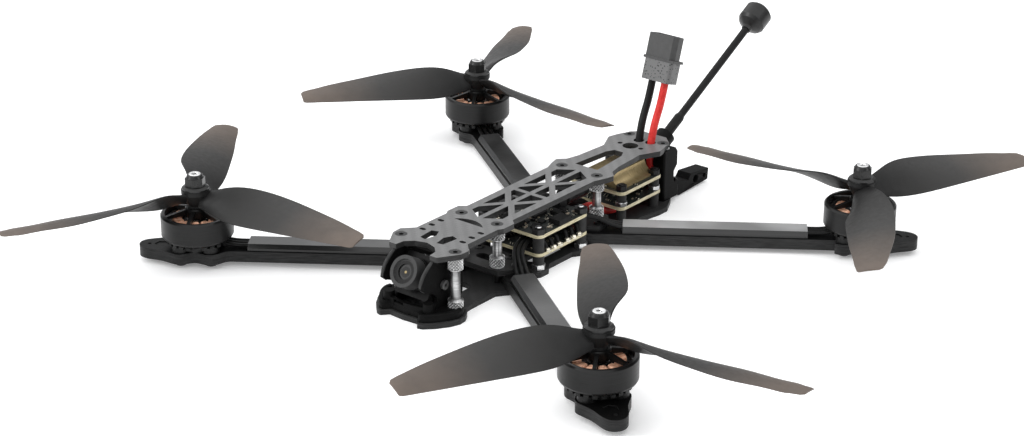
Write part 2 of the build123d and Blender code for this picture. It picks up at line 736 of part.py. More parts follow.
def blade_section(spin, radius, chord, thick, shift):
    """The blade's cambered section at one radius, turned to the propeller's pitch."""
    twist = math.degrees(math.atan2(PROP_PITCH, 2 * math.pi * radius))
    twist = math.radians(min(twist, ROOT_TWIST))
    chordwise = Vector(0, spin * math.cos(twist), math.sin(twist))
    middle = Vector(radius, 0, PROP_Z) + chordwise * shift
    half = chord / 2
    edge = thick * EDGE_SHARE
    camber = chord * CAMBER_SHARE
    with BuildSketch(Plane(origin=middle, x_dir=chordwise, z_dir=(spin, 0, 0))) as section:
        with BuildLine():
            Line((-half, -edge / 2), (-half, edge / 2))
            ThreePointArc((-half, edge / 2), (0, camber + thick / 2), (half, edge / 2))
            Line((half, edge / 2), (half, -edge / 2))
            ThreePointArc((half, -edge / 2), (0, camber - thick / 2), (-half, -edge / 2))
        make_face()
    return section.sketch.face()


def build_blade(spin):
    """One blade along +X; spin is 1 for a propeller that turns anticlockwise from above."""
    with BuildPart() as blade:
        for sections, straight in ((BLADE, False), (BLADE_TIP, True)):
            faces = [blade_section(spin, *values) for values in sections]
            loft(faces, ruled=straight)
    return blade.part


def build_propeller(spin):
    """Three blades on a hub that narrows towards the motor."""
    blade = build_blade(spin)
    with BuildPart() as propeller:
        with PolarLocations(0, 3):
            add(blade)
        add(turned([
            (0, HUB_Z), (3.7, HUB_Z), (3.7, HUB_Z + 1.2), (HUB_R, HUB_TOP_Z - 1.8),
            (HUB_R, HUB_TOP_Z), (0, HUB_TOP_Z),
        ]))
        Cylinder(THREAD_R, 100, mode=Mode.SUBTRACT)
        with BuildSketch(Plane.XY.offset(HUB_TOP_Z)):
            Circle(HUB_R + 0.6)
        extrude(amount=10, mode=Mode.SUBTRACT)
    return propeller.part


PROPELLERS = {spin: build_propeller(spin) for spin in (1, -1)}

for corner, (sx, sy) in CORNERS.items():
    here = Location((sx * MOTOR_X, sy * MOTOR_Y, 0))
    with BuildPart() as rotor_bell:
        with Locations(here):
            add(bell)
    finish(rotor_bell, f"bell_{corner}")
    with BuildPart() as rotor_magnets:
        with Locations(here):
            with PolarLocations(0, MAGNETS):
                add(magnet)
    finish(rotor_magnets, f"magnets_{corner}")
    with BuildPart() as rotor_shaft:
        with Locations(here):
            add(motor_shaft)
    finish(rotor_shaft, f"shaft_{corner}")
    with BuildPart() as rotor_nut:
        with Locations(here):
            add(prop_nut)
    finish(rotor_nut, f"prop_nut_{corner}")
    with BuildPart() as rotor_propeller:
        with Locations(here * Location((0, 0, 0), (0, 0, BLADE_PHASE[corner]))):
            add(PROPELLERS[SPIN[corner]])
    finish(rotor_propeller, f"propeller_{corner}")


# ---------------------------------------------------------------- nose: guard and camera
GUARD_TOP = TOP_Z
# Side wall of the guard in the YZ plane: over the top, down the swept front edge, back under
# the wing and down to the base
WALL_SIDE = [
    (-60.5, GUARD_TOP), (-78.8, GUARD_TOP), (-81.5, 25.5), (-84.9, 22.4), (-87.1, 18.8),
    (-87.4, 17.0), (-85.5, 15.6), (-80.0, 13.2), (-77.2, 10.6), (-77.4, 8.0), (-79.6, 5.2),
    (-81.4, BOTTOM_T), (-64.0, BOTTOM_T), (-60.5, 8.0),
]
ARCH = [(-72.2, GUARD_TOP), (-71.6, 25.6), (-69.6, 25.4), (-69.2, GUARD_TOP)]
NOSE_BASE = [
    (0, -85.6), (7.4, -85.0), (10.3, -88.1), (12.5, -87.5), (15.9, -84.0), (19.4, -78.8),
    (20.9, -74.6), (20.5, -71.3), (18.7, -67.9), (16.5, -66.5), (0, -66.5),
]
NOSE_BASE_T = 2.6
CHEEK_R = 3.0
CHEEK_H = 7.0
PIVOT_SCREW_R = 1.0
PIVOT_HOLE_R = PIVOT_SCREW_R + 0.05

with BuildPart() as camera_guard:
    for sx in (-1, 1):
        with BuildSketch(Plane.YZ.offset(sx * WALL_IN)):
            with BuildLine():
                Polyline(*WALL_SIDE, close=True)
            make_face()
            fillet(vertices().filter_by_position(Axis.Y, -90, -77), 0.7)
        extrude(amount=sx * (WALL_OUT - WALL_IN))
    with BuildSketch(Plane.YZ.offset(-WALL_IN)):
        with BuildLine():
            Polyline(*ARCH, close=True)
        make_face()
    extrude(amount=2 * WALL_IN)
    with BuildSketch(Plane.XY.offset(BOTTOM_T)):
        with BuildLine():
            Polyline(*mirrored(NOSE_BASE), close=True)
        make_face()
        fillet(vertices(), 0.9)
        with Locations((0, -74.2)):
            Rectangle(2 * WALL_IN, 17.0, mode=Mode.SUBTRACT)
        with Locations(*FRONT_POSTS):
            Circle(KNURL_R + 0.2, mode=Mode.SUBTRACT)
    extrude(amount=NOSE_BASE_T)
    # Low curved wall across the front, with its cheeks, and the window in it
    with BuildSketch(Plane.XY.offset(BOTTOM_T)):
        with BuildLine():
            ThreePointArc((-9.6, -83.2), (0, -84.6), (9.6, -83.2))
            offset(amount=0.9, kind=Kind.ARC)
        make_face()
    extrude(amount=5.0)
    for sx in (-1, 1):
        with BuildSketch(Plane.XY.offset(BOTTOM_T)):
            with Locations((sx * 11.0, -82.4)):
                Circle(CHEEK_R)
        extrude(amount=CHEEK_H, taper=6)
    with Locations((-3.4, -84, BOTTOM_T + 3.6)):
        Box(6.0, 8.0, 2.6, mode=Mode.SUBTRACT)
    with Locations(Location(CAMERA_PIVOT, (0, 90, 0))):
        Cylinder(PIVOT_HOLE_R, 60, mode=Mode.SUBTRACT)
finish(camera_guard, "camera_guard")

CAMERA_HALF = 9.3
CAMERA_BACK = -8.0
CAMERA_FRONT = 4.0
LENS_END = 14.0
LENS_R = 7.0

tilt = math.radians(CAMERA_TILT)
camera_plane = Plane(
    origin=CAMERA_PIVOT, x_dir=(1, 0, 0), z_dir=(0, -math.cos(tilt), math.sin(tilt))
)

with BuildPart() as camera_body:
    with BuildSketch(camera_plane.offset(CAMERA_BACK)):
        RectangleRounded(2 * CAMERA_HALF, 2 * CAMERA_HALF, 1.6)
    extrude(amount=CAMERA_FRONT - CAMERA_BACK)
    chamfer(camera_body.faces().sort_by(Axis((0, 0, 0), camera_plane.z_dir))[0].edges(), 1.2)
    with BuildSketch(camera_plane.offset(CAMERA_FRONT)):
        Circle(7.4)
        Circle(5.2, mode=Mode.SUBTRACT)
    extrude(amount=3.0)
    with BuildSketch(camera_plane.offset(CAMERA_FRONT - 2.0)):
        Circle(5.2)
    extrude(amount=2.0, mode=Mode.SUBTRACT)
    with Locations(Location(CAMERA_PIVOT, (0, 90, 0))):
        Cylinder(PIVOT_SCREW_R, 60, mode=Mode.SUBTRACT)
finish(camera_body, "camera_body")

with BuildPart() as camera_lens:
    with BuildSketch(camera_plane.offset(CAMERA_FRONT - 2.0)):
        Circle(5.2)
    extrude(amount=5.4)
    with BuildSketch(camera_plane.offset(CAMERA_FRONT + 3.4)):
        Circle(LENS_R)
    extrude(amount=LENS_END - CAMERA_FRONT - 3.4)
    with BuildSketch(camera_plane.offset(LENS_END)):
        Circle(5.4)
    extrude(amount=-1.0, taper=20, mode=Mode.SUBTRACT)
    with BuildSketch(camera_plane.offset(LENS_END - 1.0)):
        Circle(3.4)
    extrude(amount=-1.6, mode=Mode.SUBTRACT)
finish(camera_lens, "camera_lens")

with BuildPart() as camera_lens_glass:
    with BuildSketch(camera_plane.offset(LENS_END - 2.6)):
        Circle(3.4)
    extrude(amount=0.9)
finish(camera_lens_glass, "camera_lens_glass")

with BuildPart() as camera_screws:
    for sx in (-1, 1):
        with BuildSketch(Plane.YZ.offset(sx * 5.0)):
            with Locations(CAMERA_PIVOT[1:]):
                Circle(PIVOT_SCREW_R)
        extrude(amount=sx * (WALL_OUT + 0.3 - 5.0))
        with BuildSketch(Plane.YZ.offset(sx * (WALL_OUT + 0.3))):
            with Locations(CAMERA_PIVOT[1:]):
                Circle(2.1)
        extrude(amount=sx * 1.3)
        with BuildSketch(Plane.YZ.offset(sx * (WALL_OUT + 1.6))):
            with Locations(CAMERA_PIVOT[1:]):
                RegularPolygon(0.9, 6)
        extrude(amount=-sx * 0.8, mode=Mode.SUBTRACT)
finish(camera_screws, "camera_screws")


# ---------------------------------------------------------------- tail: mount, bracket, antenna
ANTENNA_FOOT = Vector(0, 94.0, 21.6)
ANTENNA_DIR = Vector(0, 0.879, 0.477)
ANTENNA_STEM_END = 85.5
ANTENNA_CAP_END = 99.8
STEM_R = 1.8
SLEEVE_R = 2.4
SOCKET_OUT = 4.6
SOCKET_LENGTH = 14.0

# Bay in the mount that the battery leads rise through: width and depth
LEAD_BAY = (14.0, 8.0)

antenna_plane = Plane(origin=ANTENNA_FOOT, x_dir=(1, 0, 0), z_dir=ANTENNA_DIR)

# Rear mount seen from the side, back edge only: two pads with a waist between them
MOUNT_FRONT_Y = 83.2
MOUNT_HALF = 13.9
MOUNT_BACK = [
    (MOUNT_FRONT_Y, BOTTOM_T), (95.3, BOTTOM_T), (95.3, 7.0), (91.8, 10.5), (91.8, 16.5),
    (94.4, 19.5), (94.4, 24.4), (92.0, TOP_Z), (MOUNT_FRONT_Y, TOP_Z),
]

with BuildPart() as rear_mount:
    with BuildSketch(Plane.YZ.offset(-MOUNT_HALF)):
        with BuildLine():
            Polyline(*MOUNT_BACK, close=True)
        make_face()
    extrude(amount=2 * MOUNT_HALF)
    with Locations((0, 87, (BOTTOM_T + TOP_Z) / 2)):
        Box(LEAD_BAY[0], LEAD_BAY[1], 60, mode=Mode.SUBTRACT)
    fillet(rear_mount.edges().filter_by(Axis.Z), 1.0)
    with BuildSketch(antenna_plane.offset(-3)):
        Circle(SOCKET_OUT)
    extrude(amount=SOCKET_LENGTH)
    with BuildSketch(antenna_plane.offset(-12)):
        Circle(SLEEVE_R)
    extrude(amount=40, mode=Mode.SUBTRACT)
    with Locations(*[(x, y, 0) for x, y in REAR_POSTS]):
        Cylinder(KNURL_R, 100, mode=Mode.SUBTRACT)
finish(rear_mount, "rear_mount")

BAR_X = (4.4, 12.0)
BAR_SIDE = [
    (95.3, BOTTOM_T), (98.5, 0.4), (122.6, 1.4), (123.2, 7.0), (108.2, 8.6), (106.0, 6.0),
    (98.0, 8.4), (95.3, 10.5),
]

with BuildPart() as antenna_bracket:
    with BuildSketch(Plane.YZ.offset(BAR_X[0])):
        with BuildLine():
            Polyline(*BAR_SIDE, close=True)
        make_face()
        fillet(vertices().filter_by_position(Axis.Y, 106.5, 130), 0.8)
        with Locations((112.3, 4.7)):
            Circle(2.0, mode=Mode.SUBTRACT)
        with Locations((119.6, 4.2)):
            Circle(1.1, mode=Mode.SUBTRACT)
    extrude(amount=BAR_X[1] - BAR_X[0])
finish(antenna_bracket, "antenna_bracket")

with BuildPart() as antenna_stem:
    with BuildSketch(antenna_plane.offset(-3)):
        Circle(SLEEVE_R)
    extrude(amount=26)
    with BuildSketch(antenna_plane.offset(23)):
        Circle(SLEEVE_R)
    extrude(amount=2.0, taper=16)
    with BuildSketch(antenna_plane.offset(20)):
        Circle(STEM_R)
    extrude(amount=ANTENNA_STEM_END - 20)
finish(antenna_stem, "antenna_stem")

with BuildPart() as cap_shape:
    with BuildSketch(Plane.XZ):
        with BuildLine():
            Polyline(
                (0, ANTENNA_STEM_END), (2.3, ANTENNA_STEM_END), (2.6, ANTENNA_STEM_END + 1.6),
                (5.9, ANTENNA_STEM_END + 3.6), (6.9, ANTENNA_STEM_END + 5.2),
                (6.9, ANTENNA_CAP_END - 1.6), (5.6, ANTENNA_CAP_END - 0.3),
                (3.0, ANTENNA_CAP_END), (0, ANTENNA_CAP_END), close=True,
            )
        make_face()
    revolve(axis=Axis.Z)
cap = cap_shape.part

with BuildPart() as antenna_cap:
    with Locations(antenna_plane.location):
        add(cap)
finish(antenna_cap, "antenna_cap")


# ---------------------------------------------------------------- wires
SLEEVE_START = -106.0
SLEEVE_END = -23.0
SLEEVE_H = 3.0
SLEEVE_HALF = 5.75

with BuildPart() as wire_sleeves:
    for corner in CORNERS:
        motor, out, side = arm_axes(corner)
        start = motor + out * SLEEVE_START + Vector(0, 0, ARM_TOP)
        with BuildSketch(Plane(origin=start, x_dir=side, z_dir=out)):
            with BuildLine():
                Polyline(
                    (-SLEEVE_HALF, 0), (-SLEEVE_HALF, 1.2), (-4.4, SLEEVE_H), (4.4, SLEEVE_H),
                    (SLEEVE_HALF, 1.2), (SLEEVE_HALF, 0), close=True,
                )
            make_face()
            with Locations((0, SLEEVE_H / 2)):
                RectangleRounded(9.0, 2.1, 0.9, mode=Mode.SUBTRACT)
        extrude(amount=SLEEVE_END - SLEEVE_START)
finish(wire_sleeves, "wire_sleeves")

# Ends of each motor wire beyond its sleeve, along the arm, and its height inside the sleeve
WIRE_IN = SLEEVE_START - 2.0
WIRE_Z = ARM_TOP + SLEEVE_H / 2
LANE_STEP = 2.6


def motor_wire_route(corner, number):
    """From a solder pad over the clamp plate, through the sleeve and up to the windings."""
    sx, sy = CORNERS[corner]
    motor, out, side = arm_axes(corner)
    lane = (number - 1) * LANE_STEP * (sx * -sy)
    near_x = 6.8 + 2.1 * number
    pad_y = STACK_Y + sy * (2.9 + PAD_STEP * number)
    sleeve = [
        motor + out * along + side * lane + Vector(0, 0, height)
        for along, height in ((WIRE_IN, WIRE_Z), (-17.0, WIRE_Z), (-12.0, 9.9), (-8.9, 11.3))
    ]
    stack = [
        (sx * (PAD_X + 0.3), pad_y, ESC_TOP + 0.5),
        (sx * (PAD_X - 0.6), pad_y + sy * 0.4, ESC_TOP + 3.8),
        (sx * (near_x + 0.6), pad_y + sy * 0.6, ESC_TOP + 5.2),
        (sx * near_x, STACK_Y + sy * 18.2, ESC_TOP + 4.4),
        (sx * (near_x + 4.8), sy * 26.2, ESC_TOP + 4.0),
    ]
    return stack + [tuple(point) for point in sleeve]


motor_wire_tubes = []
for corner in CORNERS:
    for number in range(3):
        route = motor_wire_route(corner, number)
        wire, length, error = tube(route, WIRE_D)
        motor_wire_tubes.append(wire)
        report_wire(f"motor wire {corner} {number}", route, WIRE_D, length, error)

with BuildPart() as motor_wires:
    for wire in motor_wire_tubes:
        add(wire)
finish(motor_wires, "motor_wires")

# Battery leads: inside the body, from the speed controller's pads to the top plate
LEAD_START_Z = ESC_TOP + 0.5 + LEAD_D / 2 + 0.6
INNER_ROUTES = {
    "black": [
        (-4.6, 15.4, LEAD_START_Z), (-4.2, 28, 13.5), (-4.1, 40.8, 12.6), (-3.8, 48.8, 6.6),
        (-3.2, 57, 4.9), (-2.2, 70, 4.4), (-1.5, 80.0, 4.9), (-1.2, 84.9, 11.0),
        (-1.1, 83.2, 19.0), (-1.1, 83.2, TOP_Z),
    ],
    "red": [
        (4.6, 15.4, LEAD_START_Z), (4.2, 28, 13.5), (4.1, 40.8, 12.6), (4.2, 48.8, 6.6),
        (4.5, 57, 4.9), (4.7, 70, 4.4), (4.8, 80.8, 4.9), (4.9, 86.0, 11.0),
        (4.9, 84.2, 19.0), (4.9, 84.2, TOP_Z),
    ],
}
# The same leads above the top plate, standing on their own stiffness up to the plug
PLUG_FOOT = Vector(0.8, 95.4, 56.4)
PLUG_DIR = Vector(0, 0.307, 0.952)
OUTER_ROUTES = {
    "black": [
        (-1.1, 83.2, TOP_Z), (-1.6, 85.1, 35.5), (-2.6, 89.6, 42.6), (-2.8, 92.5, 47.3),
        (-2.8, 95.4, 56.4),
    ],
    "red": [
        (4.9, 84.2, TOP_Z), (4.9, 85.9, 35.5), (4.5, 89.9, 42.6), (4.4, 92.5, 47.3),
        (4.4, 95.4, 56.4),
    ],
}

for colour in ("black", "red"):
    for name, routes in (("battery_inner", INNER_ROUTES), ("battery_lead", OUTER_ROUTES)):
        lead, length, error = tube(routes[colour], LEAD_D)
        report_wire(f"{name} {colour}", routes[colour], LEAD_D, length, error)
        with BuildPart() as battery_wire:
            add(lead)
        finish(battery_wire, f"{name}_{colour}")

PLUG_WIDTH = 16.0
PLUG_DEPTH = 8.2
PLUG_CAP_H = 9.8
PLUG_RIM_T = 1.2
PLUG_H = 22.0
PLUG_BORE = 9.5
PIN_PITCH = 7.2
PIN_R = 1.7
PIN_RECESS = 5.6

plug_plane = Plane(origin=PLUG_FOOT, x_dir=(1, 0, 0), z_dir=PLUG_DIR)

with BuildPart() as battery_plug:
    with BuildSketch(plug_plane):
        RectangleRounded(PLUG_WIDTH, PLUG_DEPTH, 1.6)
    extrude(amount=PLUG_CAP_H)
    with BuildSketch(plug_plane.offset(PLUG_CAP_H)):
        Rectangle(PLUG_WIDTH + 1.0, PLUG_DEPTH + 0.4)
    extrude(amount=PLUG_RIM_T)
    with BuildSketch(plug_plane.offset(PLUG_CAP_H + PLUG_RIM_T)):
        Rectangle(PLUG_WIDTH - 0.6, PLUG_DEPTH - 0.4)
        chamfer(vertices().group_by(Axis.X)[-1], 2.0)
    extrude(amount=PLUG_H - PLUG_CAP_H - PLUG_RIM_T)
    with BuildSketch(plug_plane.offset(PLUG_H)):
        Rectangle(PLUG_WIDTH - 2.6, PLUG_DEPTH - 2.4)
        chamfer(vertices().group_by(Axis.X)[-1], 1.6)
    extrude(amount=-PLUG_BORE, mode=Mode.SUBTRACT)
    with BuildSketch(plug_plane.offset(PLUG_H - PLUG_BORE)):
        with Locations((-PIN_PITCH / 2, 0), (PIN_PITCH / 2, 0)):
            Circle(PIN_R)
    extrude(amount=PLUG_BORE - PIN_RECESS)
finish(battery_plug, "battery_plug")
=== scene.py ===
import json
import math
import random

import bmesh
import bpy
from mathutils import Matrix, Vector


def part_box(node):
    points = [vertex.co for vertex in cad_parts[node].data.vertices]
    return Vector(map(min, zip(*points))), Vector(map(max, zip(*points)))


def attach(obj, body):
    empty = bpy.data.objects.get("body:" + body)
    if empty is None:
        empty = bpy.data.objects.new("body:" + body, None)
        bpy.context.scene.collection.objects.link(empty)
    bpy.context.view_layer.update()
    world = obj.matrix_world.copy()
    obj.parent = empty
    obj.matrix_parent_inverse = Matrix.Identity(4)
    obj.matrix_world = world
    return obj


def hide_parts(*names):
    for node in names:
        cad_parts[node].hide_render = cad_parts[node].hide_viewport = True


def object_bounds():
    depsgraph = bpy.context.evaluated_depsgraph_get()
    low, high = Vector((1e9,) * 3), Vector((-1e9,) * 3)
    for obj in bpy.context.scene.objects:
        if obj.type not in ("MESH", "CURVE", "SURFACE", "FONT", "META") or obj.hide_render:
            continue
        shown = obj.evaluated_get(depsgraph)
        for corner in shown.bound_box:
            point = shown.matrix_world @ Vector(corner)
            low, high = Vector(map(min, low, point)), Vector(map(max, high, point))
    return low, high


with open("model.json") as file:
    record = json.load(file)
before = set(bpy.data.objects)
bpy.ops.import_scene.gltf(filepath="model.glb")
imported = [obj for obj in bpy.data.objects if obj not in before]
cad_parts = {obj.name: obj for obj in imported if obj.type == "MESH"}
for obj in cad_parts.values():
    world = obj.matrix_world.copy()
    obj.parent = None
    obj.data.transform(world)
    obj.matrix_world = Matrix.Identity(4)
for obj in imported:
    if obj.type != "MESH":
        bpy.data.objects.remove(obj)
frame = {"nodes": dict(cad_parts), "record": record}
CAD_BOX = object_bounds()

# A long-range racing quadcopter. Metres, +Z up, nose towards -Y, the same frame as the CAD.
MM = 0.001
CORNERS = ("front_left", "front_right", "rear_left", "rear_right")
NODES = frame["nodes"]


def middle(node):
    low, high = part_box(node)
    return (Vector(low) + Vector(high)) / 2


def top_of(node):
    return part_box(node)[1][2]


MOTORS = {corner: middle(f"bell_{corner}") for corner in CORNERS}


# ---------------------------------------------------------------- camera
CAMERA_AT = Vector((0.6043, -0.7620, 0.4339))
CAMERA_AZIMUTH = 38.894
CAMERA_ELEVATION = 23.148
CAMERA_ROLL = 0.088
LENS = 83.35
SENSOR = 36.0

azimuth, elevation, roll = (
    math.radians(a) for a in (CAMERA_AZIMUTH, CAMERA_ELEVATION, CAMERA_ROLL)
)
back = Vector((
    math.sin(azimuth) * math.cos(elevation), -math.cos(azimuth) * math.cos(elevation),
    math.sin(elevation),
))
right = Vector((math.cos(azimuth), math.sin(azimuth), 0))
up = back.cross(right)
right, up = (
    math.cos(roll) * right + math.sin(roll) * up, math.cos(roll) * up - math.sin(roll) * right,
)
camera_data = bpy.data.cameras.new("camera")
camera_data.lens = LENS
camera_data.sensor_width = SENSOR
camera = bpy.data.objects.new("camera", camera_data)
bpy.context.collection.objects.link(camera)
camera.matrix_world = Matrix.Translation(CAMERA_AT) @ Matrix((right, up, back)).transposed().to_4x4()
bpy.context.scene.camera = camera


# ---------------------------------------------------------------- battery leads, the free cords
LEAD_D = 3.6 * MM
LEAD_ROUTES = {
    "black": [
        (-1.1, 83.2, 27.5), (-1.6, 85.1, 35.5), (-2.6, 89.6, 42.6), (-2.8, 92.5, 47.3),
        (-2.8, 95.4, 56.4),
    ],
    "red": [
        (4.9, 84.2, 27.5), (4.9, 85.9, 35.5), (4.5, 89.9, 42.6), (4.4, 92.5, 47.3),
        (4.4, 95.4, 56.4),
    ],
}
leads = {}
for colour, route in LEAD_ROUTES.items():
    curve = bpy.data.curves.new(f"lead_{colour}", "CURVE")
    curve.dimensions = "3D"
    curve.bevel_depth = 1.0
    curve.bevel_resolution = 8
    spline = curve.splines.new("NURBS")
    spline.points.add(len(route) - 1)
    for point, place in zip(spline.points, route):
        point.co = (*[value * MM for value in place], 1)
        point.radius = LEAD_D / 2
    spline.order_u = 3
    spline.use_endpoint_u = True
    spline.resolution_u = 16
    lead = bpy.data.objects.new(f"lead_{colour}", curve)
    bpy.context.collection.objects.link(lead)
    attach(lead, "frame")
    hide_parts(f"battery_lead_{colour}")
    leads[colour] = lead


# ---------------------------------------------------------------- node materials
class Paint:
    """A Principled material whose colour, roughness and relief are built from nodes."""

    def __init__(self, name, rough=0.5, metallic=0.0, **sockets):
        self.material = bpy.data.materials.new(name)
        self.material.use_nodes = True
        self.tree = self.material.node_tree
        self.shader = self.tree.nodes["Principled BSDF"]
        self.shader.inputs["Roughness"].default_value = rough
        self.shader.inputs["Metallic"].default_value = metallic
        for socket, value in sockets.items():
            self.shader.inputs[socket.replace("_", " ")].default_value = value
        self.coords = self.node("ShaderNodeTexCoord")
        self.place = self.coords.outputs["Object"]
        self.normal = self.coords.outputs["Normal"]

    def node(self, kind, **settings):
        node = self.tree.nodes.new(kind)
        for name, value in settings.items():
            setattr(node, name, value)
        return node

    def feed(self, socket, value):
        if isinstance(value, bpy.types.NodeSocket):
            self.tree.links.new(value, socket)
        else:
            socket.default_value = value

    def math(self, operation, *values):
        node = self.node("ShaderNodeMath", operation=operation)
        for socket, value in zip(node.inputs, values):
            self.feed(socket, value)
        return node.outputs[0]

    def axes(self, vector):
        node = self.node("ShaderNodeSeparateXYZ")
        self.feed(node.inputs[0], vector)
        return node.outputs

    def along(self, direction, origin=(0, 0, 0)):
        """Distance from origin along a direction, in metres."""
        moved = self.node("ShaderNodeVectorMath", operation="SUBTRACT")
        self.feed(moved.inputs[0], self.place)
        self.feed(moved.inputs[1], tuple(origin))
        dot = self.node("ShaderNodeVectorMath", operation="DOT_PRODUCT")
        self.feed(dot.inputs[0], moved.outputs[0])
        self.feed(dot.inputs[1], tuple(direction))
        return dot.outputs["Value"]

    def radius(self, centre):
        """Distance from a vertical axis, in metres."""
        x, y, _ = self.axes(self.place)
        dx = self.math("SUBTRACT", x, centre[0])
        dy = self.math("SUBTRACT", y, centre[1])
        return self.math("SQRT", self.math("ADD", self.math("MULTIPLY", dx, dx),
                                           self.math("MULTIPLY", dy, dy)))

    def stretched(self, scale, angle=0.0):
        node = self.node("ShaderNodeMapping")
        self.feed(node.inputs["Vector"], self.place)
        node.inputs["Rotation"].default_value = (0, 0, angle)
        node.inputs["Scale"].default_value = scale
        return node.outputs[0]

    def noise(self, scale, detail=3.0, vector=None):
        node = self.node("ShaderNodeTexNoise")
        self.feed(node.inputs["Vector"], vector or self.place)
        node.inputs["Scale"].default_value = scale
        node.inputs["Detail"].default_value = detail
        return node.outputs[0]

    def cells(self, scale, feature="F1"):
        node = self.node("ShaderNodeTexVoronoi", feature=feature)
        self.feed(node.inputs["Vector"], self.place)
        node.inputs["Scale"].default_value = scale
        return node.outputs["Distance"]

    def span(self, value, low, high, to_low=0.0, to_high=1.0):
        node = self.node("ShaderNodeMapRange")
        for socket, number in zip(node.inputs, (value, low, high, to_low, to_high)):
            self.feed(socket, number)
        return node.outputs[0]

    def mix(self, share, first, second):
        node = self.node("ShaderNodeMix", data_type="RGBA")
        self.feed(node.inputs[0], share)
        for socket, value in ((node.inputs[6], first), (node.inputs[7], second)):
            self.feed(socket, (*value, 1) if isinstance(value, tuple) else value)
        return node.outputs[2]

    def colour(self, value):
        self.feed(self.shader.inputs["Base Color"], value)

    def rough(self, value):
        self.feed(self.shader.inputs["Roughness"], value)

    def relief(self, height, depth, strength=1.0):
        node = self.node("ShaderNodeBump")
        node.inputs["Strength"].default_value = strength
        node.inputs["Distance"].default_value = depth
        self.feed(node.inputs["Height"], height)
        self.feed(self.shader.inputs["Normal"], node.outputs[0])

    def mottle(self, dark, light, scale):
        """Base colour that wanders between two shades."""
        share = self.span(self.noise(scale), 0.25, 0.75)
        self.colour(self.mix(share, dark, light))


def grey(level, warm=0.0):
    return (level * (1 + warm), level, level * (1 - warm))


def carbon(name, face, edge, angle=0.0, gloss=0.3):
    """Carbon plate: a fine twill on its faces, stacked layers on its cut edges."""
    paint = Paint(name, rough=0.42, Specular_IOR_Level=gloss)
    tow = 1 / (1.6 * MM)
    x, y, _ = paint.axes(paint.stretched((tow, tow, tow), angle))
    step = paint.math("ADD", paint.math("FLOOR", x), paint.math("FLOOR", y))
    twill = paint.math("LESS_THAN", paint.math("FLOORED_MODULO", step, 4.0), 2.0)
    fibre = paint.noise(900, 2.0, paint.stretched((1, 5, 1), angle))
    weave = paint.math("ADD", paint.math("MULTIPLY", twill, 0.12), paint.math("MULTIPLY", fibre, 0.88))
    cloud = paint.noise(60, 2.0)
    bright = paint.mix(paint.span(weave, 0.3, 0.7), grey(face * 0.75), grey(face * 1.25))
    bright = paint.mix(paint.span(cloud, 0.4, 0.65, 0.0, 0.25), bright, grey(face * 0.6))
    layers = paint.noise(1.0, 2.0, paint.stretched((150, 150, 4200)))
    dark = paint.mix(paint.span(layers, 0.35, 0.65), grey(edge * 0.6), grey(edge * 1.6))
    nz = paint.math("ABSOLUTE", paint.axes(paint.normal)[2])
    paint.colour(paint.mix(paint.span(nz, 0.35, 0.75), dark, bright))
    paint.rough(paint.span(fibre, 0.3, 0.7, 0.36, 0.5))
    paint.relief(paint.math("ADD", weave, paint.math("MULTIPLY", layers, 0.6)), 0.05 * MM, 0.5)
    return paint.material


def moulded(name, level, rough=0.55, grain=0.03, warm=0.0, gloss=0.12):
    """Moulded plastic or rubber with a fine spark-eroded grain."""
    paint = Paint(name, rough=rough, Specular_IOR_Level=gloss)
    paint.mottle(grey(level * 0.8, warm), grey(level * 1.25, warm), 350)
    grains = paint.noise(2600, 4.0)
    paint.rough(paint.span(grains, 0.3, 0.7, rough - 0.08, rough + 0.08))
    paint.relief(grains, grain * MM, 0.6)
    return paint.material


def brushed(name, dark, light, rough, stretch, metallic=1.0, **sockets):
    """Machined metal: fine tool lines along one direction and a little tarnish."""
    paint = Paint(name, rough=rough, metallic=metallic, **sockets)
    lines = paint.noise(1.0, 3.0, paint.stretched(stretch))
    haze = paint.noise(220, 3.0)
    share = paint.math("ADD", paint.math("MULTIPLY", lines, 0.6), paint.math("MULTIPLY", haze, 0.4))
    paint.colour(paint.mix(paint.span(share, 0.3, 0.7), dark, light))
    paint.rough(paint.span(share, 0.3, 0.7, rough + 0.08, rough - 0.06))
    paint.relief(lines, 0.015 * MM, 0.5)
    return paint.material


def knurled_metal():
    """Bright turned metal, with painted shade down in the grooves of the knurl."""
    paint = Paint("standoff", rough=0.34, metallic=0.9)
    lines = paint.noise(1.0, 3.0, paint.stretched((260, 260, 1800)))
    shine = paint.mix(paint.span(lines, 0.3, 0.7), grey(0.5), grey(0.82))
    # Painted shade: the knurl grooves, found by low pointiness, are painted near black.
    edge = paint.node("ShaderNodeNewGeometry").outputs["Pointiness"]
    paint.colour(paint.mix(paint.span(edge, 0.42, 0.49), grey(0.03), shine))
    paint.rough(paint.span(lines, 0.3, 0.7, 0.42, 0.28))
    paint.relief(lines, 0.015 * MM, 0.5)
    return paint.material


BLADE_SHADES_R = (10 * MM, 88 * MM)


def blade_plastic(corner):
    """Smoked plastic: nearly black at the hub, thinner and browner towards the tips."""
    paint = Paint(f"propeller_{corner}", rough=0.45, Specular_IOR_Level=0.16)
    reach = paint.span(paint.radius(MOTORS[corner]), *BLADE_SHADES_R)
    inner = paint.mix(paint.span(reach, 0.0, 0.5), grey(0.010), grey(0.040, 0.03))
    shade = paint.mix(paint.span(reach, 0.5, 1.0), inner, (0.140, 0.112, 0.094))
    cloud = paint.noise(120, 3.0)
    paint.colour(paint.mix(paint.span(cloud, 0.35, 0.7, 0.0, 0.22), shade, grey(0.03)))
    flow = paint.noise(500, 3.0)
    paint.rough(paint.span(flow, 0.3, 0.7, 0.4, 0.52))
    paint.relief(flow, 0.02 * MM, 0.4)
    return paint.material


